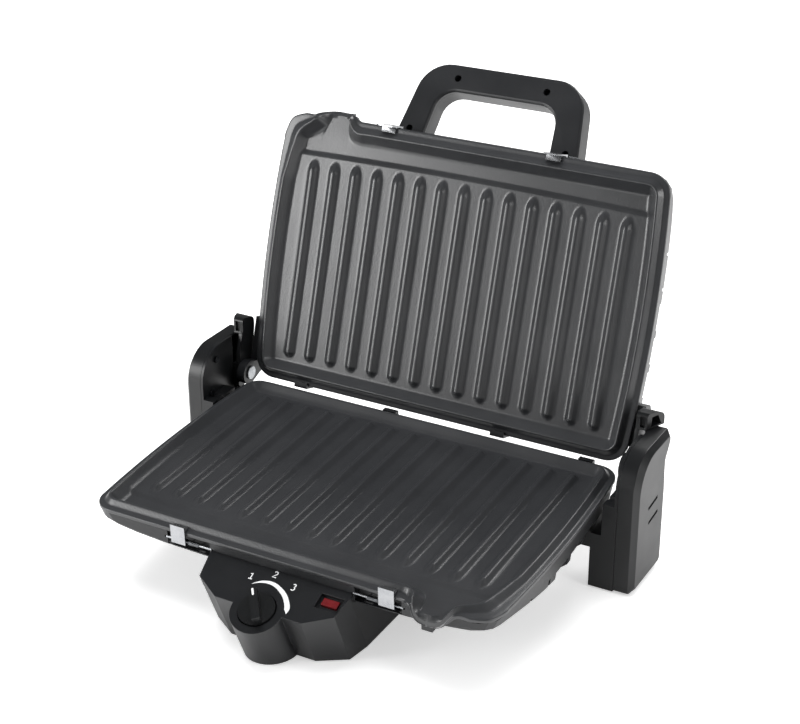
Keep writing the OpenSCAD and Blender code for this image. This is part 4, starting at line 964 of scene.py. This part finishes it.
@dataclass
class PrintedScale:
    """White printing on the control box: three digits and a widening crescent."""

    paints: Paints
    centre: float = -1.4
    ink: float = 0.05
    sunk: float = -0.03
    pen: float = 0.95
    digit_scale: float = 0.82
    digits: tuple[tuple[str, float, float], ...] = (
        ("1", -18.5, 24.2),
        ("2", -2.1, 30.6),
        ("3", 15.8, 25.3),
    )
    mark_turn: float = 35.0
    mark_half: float = 0.75
    mark_ends: tuple[float, float] = (12.0, 7.4)
    mark_z: tuple[float, float] = (8.44, 8.55)

    def strip(self, left: Array, right: Array) -> Array:
        """Returns the tube of a strip of ink between two edges (n, 2), sunk a little."""
        edges = (left, right, right, left)
        heights = (self.ink, self.ink, self.sunk, self.sunk)
        return np.stack([np.column_stack([edge, np.full(len(edge), z)])
                         for edge, z in zip(edges, heights)], axis=1)

    def crescent(self) -> bpy.types.Mesh:
        """Builds the crescent: a strip between two radii that both change with the angle."""
        angle = np.concatenate([np.linspace(-37, 67, 60), np.linspace(68, 77, 6)])
        outer = np.interp(angle, [-37, -20, -7, 5, 19, 47, 67, 77],
                          [24.7, 25.9, 26.1, 25.6, 24.6, 23.9, 24.1, 22.3])
        inner = np.interp(angle, [-37, -31, -14, 1, 23, 48, 67, 77],
                          [24.5, 24.4, 24.0, 23.1, 21.2, 20.3, 20.2, 22.1])
        a = np.radians(angle)
        left, right = (np.column_stack([r * np.sin(a), self.centre + r * np.cos(a)])
                       for r in (outer, inner))
        shell = Shell()
        shell.tube(self.strip(left, right))
        return shell.mesh("scale_crescent", PANEL)

    def digit(self, name: str, x: float, s: float) -> bpy.types.Mesh:
        """Builds a digit of pen strokes: each a strip of even width along a line or an arc.

        Args:
            name: the digit.
            x: its middle across the panel.
            s: its middle up the panel.
        Returns:
            The mesh.
        """
        a = np.radians(np.linspace(158, -62, 16))
        two = np.column_stack([1.55 * np.cos(a), 1.5 + 1.65 * np.sin(a)])
        b = np.radians(np.linspace(150, -78, 16))
        upper = np.column_stack([1.35 * np.cos(b), 1.62 + 1.5 * np.sin(b)])
        c = np.radians(np.linspace(72, -150, 16))
        lower = np.column_stack([1.6 * np.cos(c), -1.5 + 1.65 * np.sin(c)])
        strokes = {
            "1": [np.array([[-1.5, 1.9], [0.2, 3.1], [0.2, -2.9]]),
                  np.array([[-1.7, -2.95], [2.0, -2.95]])],
            "2": [np.vstack([two, [[-1.8, -2.7], [2.0, -2.7]]])],
            "3": [upper, lower],
        }
        shell = Shell()
        for path in strokes[name]:
            run = np.gradient(path, axis=0)
            run /= np.linalg.norm(run, axis=1)[:, None]
            side = np.column_stack([-run[:, 1], run[:, 0]]) * self.pen / 2
            left, right = (edge * self.digit_scale + [x, s] for edge in (path + side, path - side))
            shell.tube(self.strip(left, right))
        return shell.mesh("scale_digit_" + name, PANEL)

    def pointer(self) -> bpy.types.Mesh:
        """Builds the white mark on the knob's finger bar: a strip with round ends."""
        turn = math.radians(self.mark_turn)
        a = np.radians(np.linspace(0, 180, 12))
        cap = self.mark_half * np.column_stack([np.cos(a), np.sin(a)])
        edge = np.vstack([cap + [0, self.mark_ends[0]], -cap + [0, self.mark_ends[1]]])
        c, s = math.cos(turn), math.sin(turn)
        flat = edge @ np.array([[c, s], [-s, c]])
        shell = Shell()
        shell.tube(np.stack([np.column_stack([flat, np.full(len(flat), z)])
                             for z in self.mark_z]))
        return shell.mesh("pointer_mark", PANEL)

    def run(self) -> None:
        """Prints the scale on the control box and the mark on the knob."""
        ink = self.paints.get(Kind.INK)
        piece("scale_crescent", self.crescent(), "base", ink)
        for text, x, s in self.digits:
            piece("scale_digit_" + text, self.digit(text, x, s), "base", ink)
        piece("pointer_mark", self.pointer(), "knob", ink)


# ------------------------------------------------------------------ studio


LAMP_AIM = (0, 0, 0.12)  # metres, a point inside the object


def seen_rays(tree: bpy.types.NodeTree) -> tuple[bpy.types.Node, bpy.types.Node]:
    """Returns Light Path, and a node that is 1 for what the eye sees, also through glass."""
    path = add(tree, "ShaderNodeLightPath")
    eye = add(tree, "ShaderNodeMath", {"operation": "MAXIMUM"},
              {0: path.outputs["Is Camera Ray"], 1: path.outputs["Is Transmission Ray"]})
    return path, eye


@dataclass(frozen=True)
class Softbox:
    """A square soft lamp that faces the object.

    Args:
        name: its name.
        at: its place in metres.
        size: the length of its side in metres.
        power: its power in watts.
        mirrored: whether it shows in reflections.
    """

    name: str
    at: tuple[float, float, float]
    size: float
    power: float
    mirrored: bool = True

    def build(self) -> None:
        """Makes the lamp and turns it to the point that all lamps aim at."""
        data = bpy.data.lights.new(self.name, "AREA")
        data.shape = "SQUARE"
        data.size = self.size
        data.energy = self.power
        obj = bpy.data.objects.new(self.name, data)
        at = Vector(self.at)
        turn = (Vector(LAMP_AIM) - at).to_track_quat("-Z", "Y")
        obj.matrix_world = Matrix.Translation(at) @ turn.to_matrix().to_4x4()
        obj.visible_glossy = self.mirrored
        bpy.context.scene.collection.objects.link(obj)


SOFTBOXES = (
    Softbox("top_softbox", (-0.3, 0.2, 1.9), 1.5, 42, mirrored=False),
    Softbox("front_left_softbox", (-1.35, -1.25, 0.6), 0.9, 22),
    Softbox("right_softbox", (1.8, -0.1, 0.9), 0.9, 12),
    Softbox("rear_softbox", (0.3, 1.7, 1.35), 1.1, 20),
)


@dataclass
class Studio:
    """Camera at the photograph's angle, a pale floor and soft light.

    In reflections the world and the floor's glow are weaker than to the eye. That was chosen
    to keep the black plastics dark, and it dims what metal shows of the backdrop too.

    Args:
        eye: the camera's place in millimetres.
        aim: the point that it looks at.
        lens: focal length in millimetres.
        sensor: the sensor's width in millimetres.
        shift_x: the camera's shift to the side, as a share of the sensor.
        shift_y: its shift upwards.
        world_light: strength of the world's diffuse light.
        world_mirrored: strength of the world in reflections.
        floor_half: half the floor's side in metres.
        floor_mirrored: share of the floor's glow that reflections see.
        floor_near: distance in metres at which the glow starts to grow, and its level there.
        floor_far: distance at which it stops growing, and its level there.
    """

    eye: tuple[float, float, float] = (586.8, -996.8, 728.7)
    aim: tuple[float, float, float] = (42.3, 0.0, 183.4)
    lens: float = 79.8
    sensor: float = 36.0
    shift_x: float = -0.0101
    shift_y: float = 0.0015
    world_light: float = 0.26
    world_mirrored: float = 0.13
    floor_half: float = 6.0
    floor_mirrored: float = 0.2
    floor_near: tuple[float, float] = (0.7, 0.5)
    floor_far: tuple[float, float] = (2.4, 0.85)

    def camera(self) -> None:
        """Makes the camera with no depth of field."""
        data = bpy.data.cameras.new("camera")
        data.sensor_fit = "HORIZONTAL"
        data.sensor_width = self.sensor
        data.lens = self.lens
        data.shift_x, data.shift_y = self.shift_x, self.shift_y
        data.clip_start, data.clip_end = 0.05, 30
        cam = bpy.data.objects.new("camera", data)
        eye, aim = Vector(self.eye) * MM, Vector(self.aim) * MM
        turn = (aim - eye).to_track_quat("-Z", "Y").to_matrix().to_4x4()
        cam.matrix_world = Matrix.Translation(eye) @ turn
        bpy.context.scene.collection.objects.link(cam)
        bpy.context.scene.camera = cam

    def world(self) -> None:
        """Makes a world that is white to the eye, and weaker as light and in reflections."""
        world = bpy.data.worlds.new("studio")
        bpy.context.scene.world = world
        tree = fresh_tree(world)
        path, eye = seen_rays(tree)
        plain, mirrored, shown = (
            add(tree, "ShaderNodeBackground", {"Color": (1, 1, 1, 1), "Strength": strength})
            for strength in (self.world_light, self.world_mirrored, 1.0))
        unseen = add(tree, "ShaderNodeMixShader", {},
                     {0: path.outputs["Is Glossy Ray"], 1: plain.outputs[0],
                      2: mirrored.outputs[0]})
        mix = add(tree, "ShaderNodeMixShader", {},
                  {0: eye.outputs[0], 1: unseen.outputs[0], 2: shown.outputs[0]})
        add(tree, "ShaderNodeOutputWorld", {}, {"Surface": mix.outputs[0]})

    def floor(self) -> None:
        """Makes a plain pale floor.

        Its glow is white to the eye and grows with the distance from the object, so that the
        floor stays pale up to the horizon and still shows the shadow near the object.
        """
        data = bpy.data.meshes.new("floor")
        s = self.floor_half
        data.from_pydata([(-s, -s, 0), (s, -s, 0), (s, s, 0), (-s, s, 0)], [], [(0, 1, 2, 3)])
        material = bpy.data.materials.new("studio_floor")
        tree = fresh_tree(material)
        coord = add(tree, "ShaderNodeTexCoord")
        noise = add(tree, "ShaderNodeTexNoise", {"Scale": 2.0, "Detail": 2.0},
                    {"Vector": coord.outputs["Object"]})
        tone = add(tree, "ShaderNodeMapRange", {"To Min": 0.5, "To Max": 0.56},
                   {"Value": noise.outputs["Fac"]})
        shader = add(tree, "ShaderNodeBsdfPrincipled", {"Base Color": linear("#fbfbfb")},
                     {"Roughness": tone.outputs["Result"]})
        path, eye = seen_rays(tree)
        seen = add(tree, "ShaderNodeMath",
                   {"operation": "MULTIPLY_ADD", 1: self.floor_mirrored},
                   {0: path.outputs["Is Glossy Ray"], 2: eye.outputs[0]})
        away = add(tree, "ShaderNodeVectorMath", {"operation": "LENGTH"},
                   {0: coord.outputs["Object"]})
        level = add(tree, "ShaderNodeMapRange",
                    {"From Min": self.floor_near[0], "From Max": self.floor_far[0],
                     "To Min": self.floor_near[1], "To Max": self.floor_far[1]},
                    {"Value": away.outputs["Value"]})
        lift = add(tree, "ShaderNodeMath", {"operation": "MULTIPLY"},
                   {0: seen.outputs[0], 1: level.outputs["Result"]})
        glow = add(tree, "ShaderNodeEmission", {}, {"Strength": lift.outputs[0]})
        both = add(tree, "ShaderNodeAddShader", {}, {0: shader.outputs[0], 1: glow.outputs[0]})
        add(tree, "ShaderNodeOutputMaterial", {}, {"Surface": both.outputs[0]})
        data.materials.append(material)
        obj = bpy.data.objects.new("floor", data)
        bpy.context.scene.collection.objects.link(obj)

    def build(self) -> None:
        """Builds the camera, the floor, the lamps and the world."""
        self.camera()
        self.floor()
        self.world()
        for softbox in SOFTBOXES:
            softbox.build()
        bpy.context.scene.view_settings.view_transform = "Standard"


def main() -> None:
    """Builds the grill's looks round the CAD frame."""
    logging.basicConfig(level=logging.INFO, format="%(name)s: %(message)s")
    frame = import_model()
    Studio().build()
    paints = Paints()
    replaced = Plates(paints).run() + LatchSprings(paints).run()
    PrintedScale(paints).run()
    Dressing(paints, frame, set(replaced)).run()


if __name__ == "__main__":
    main()
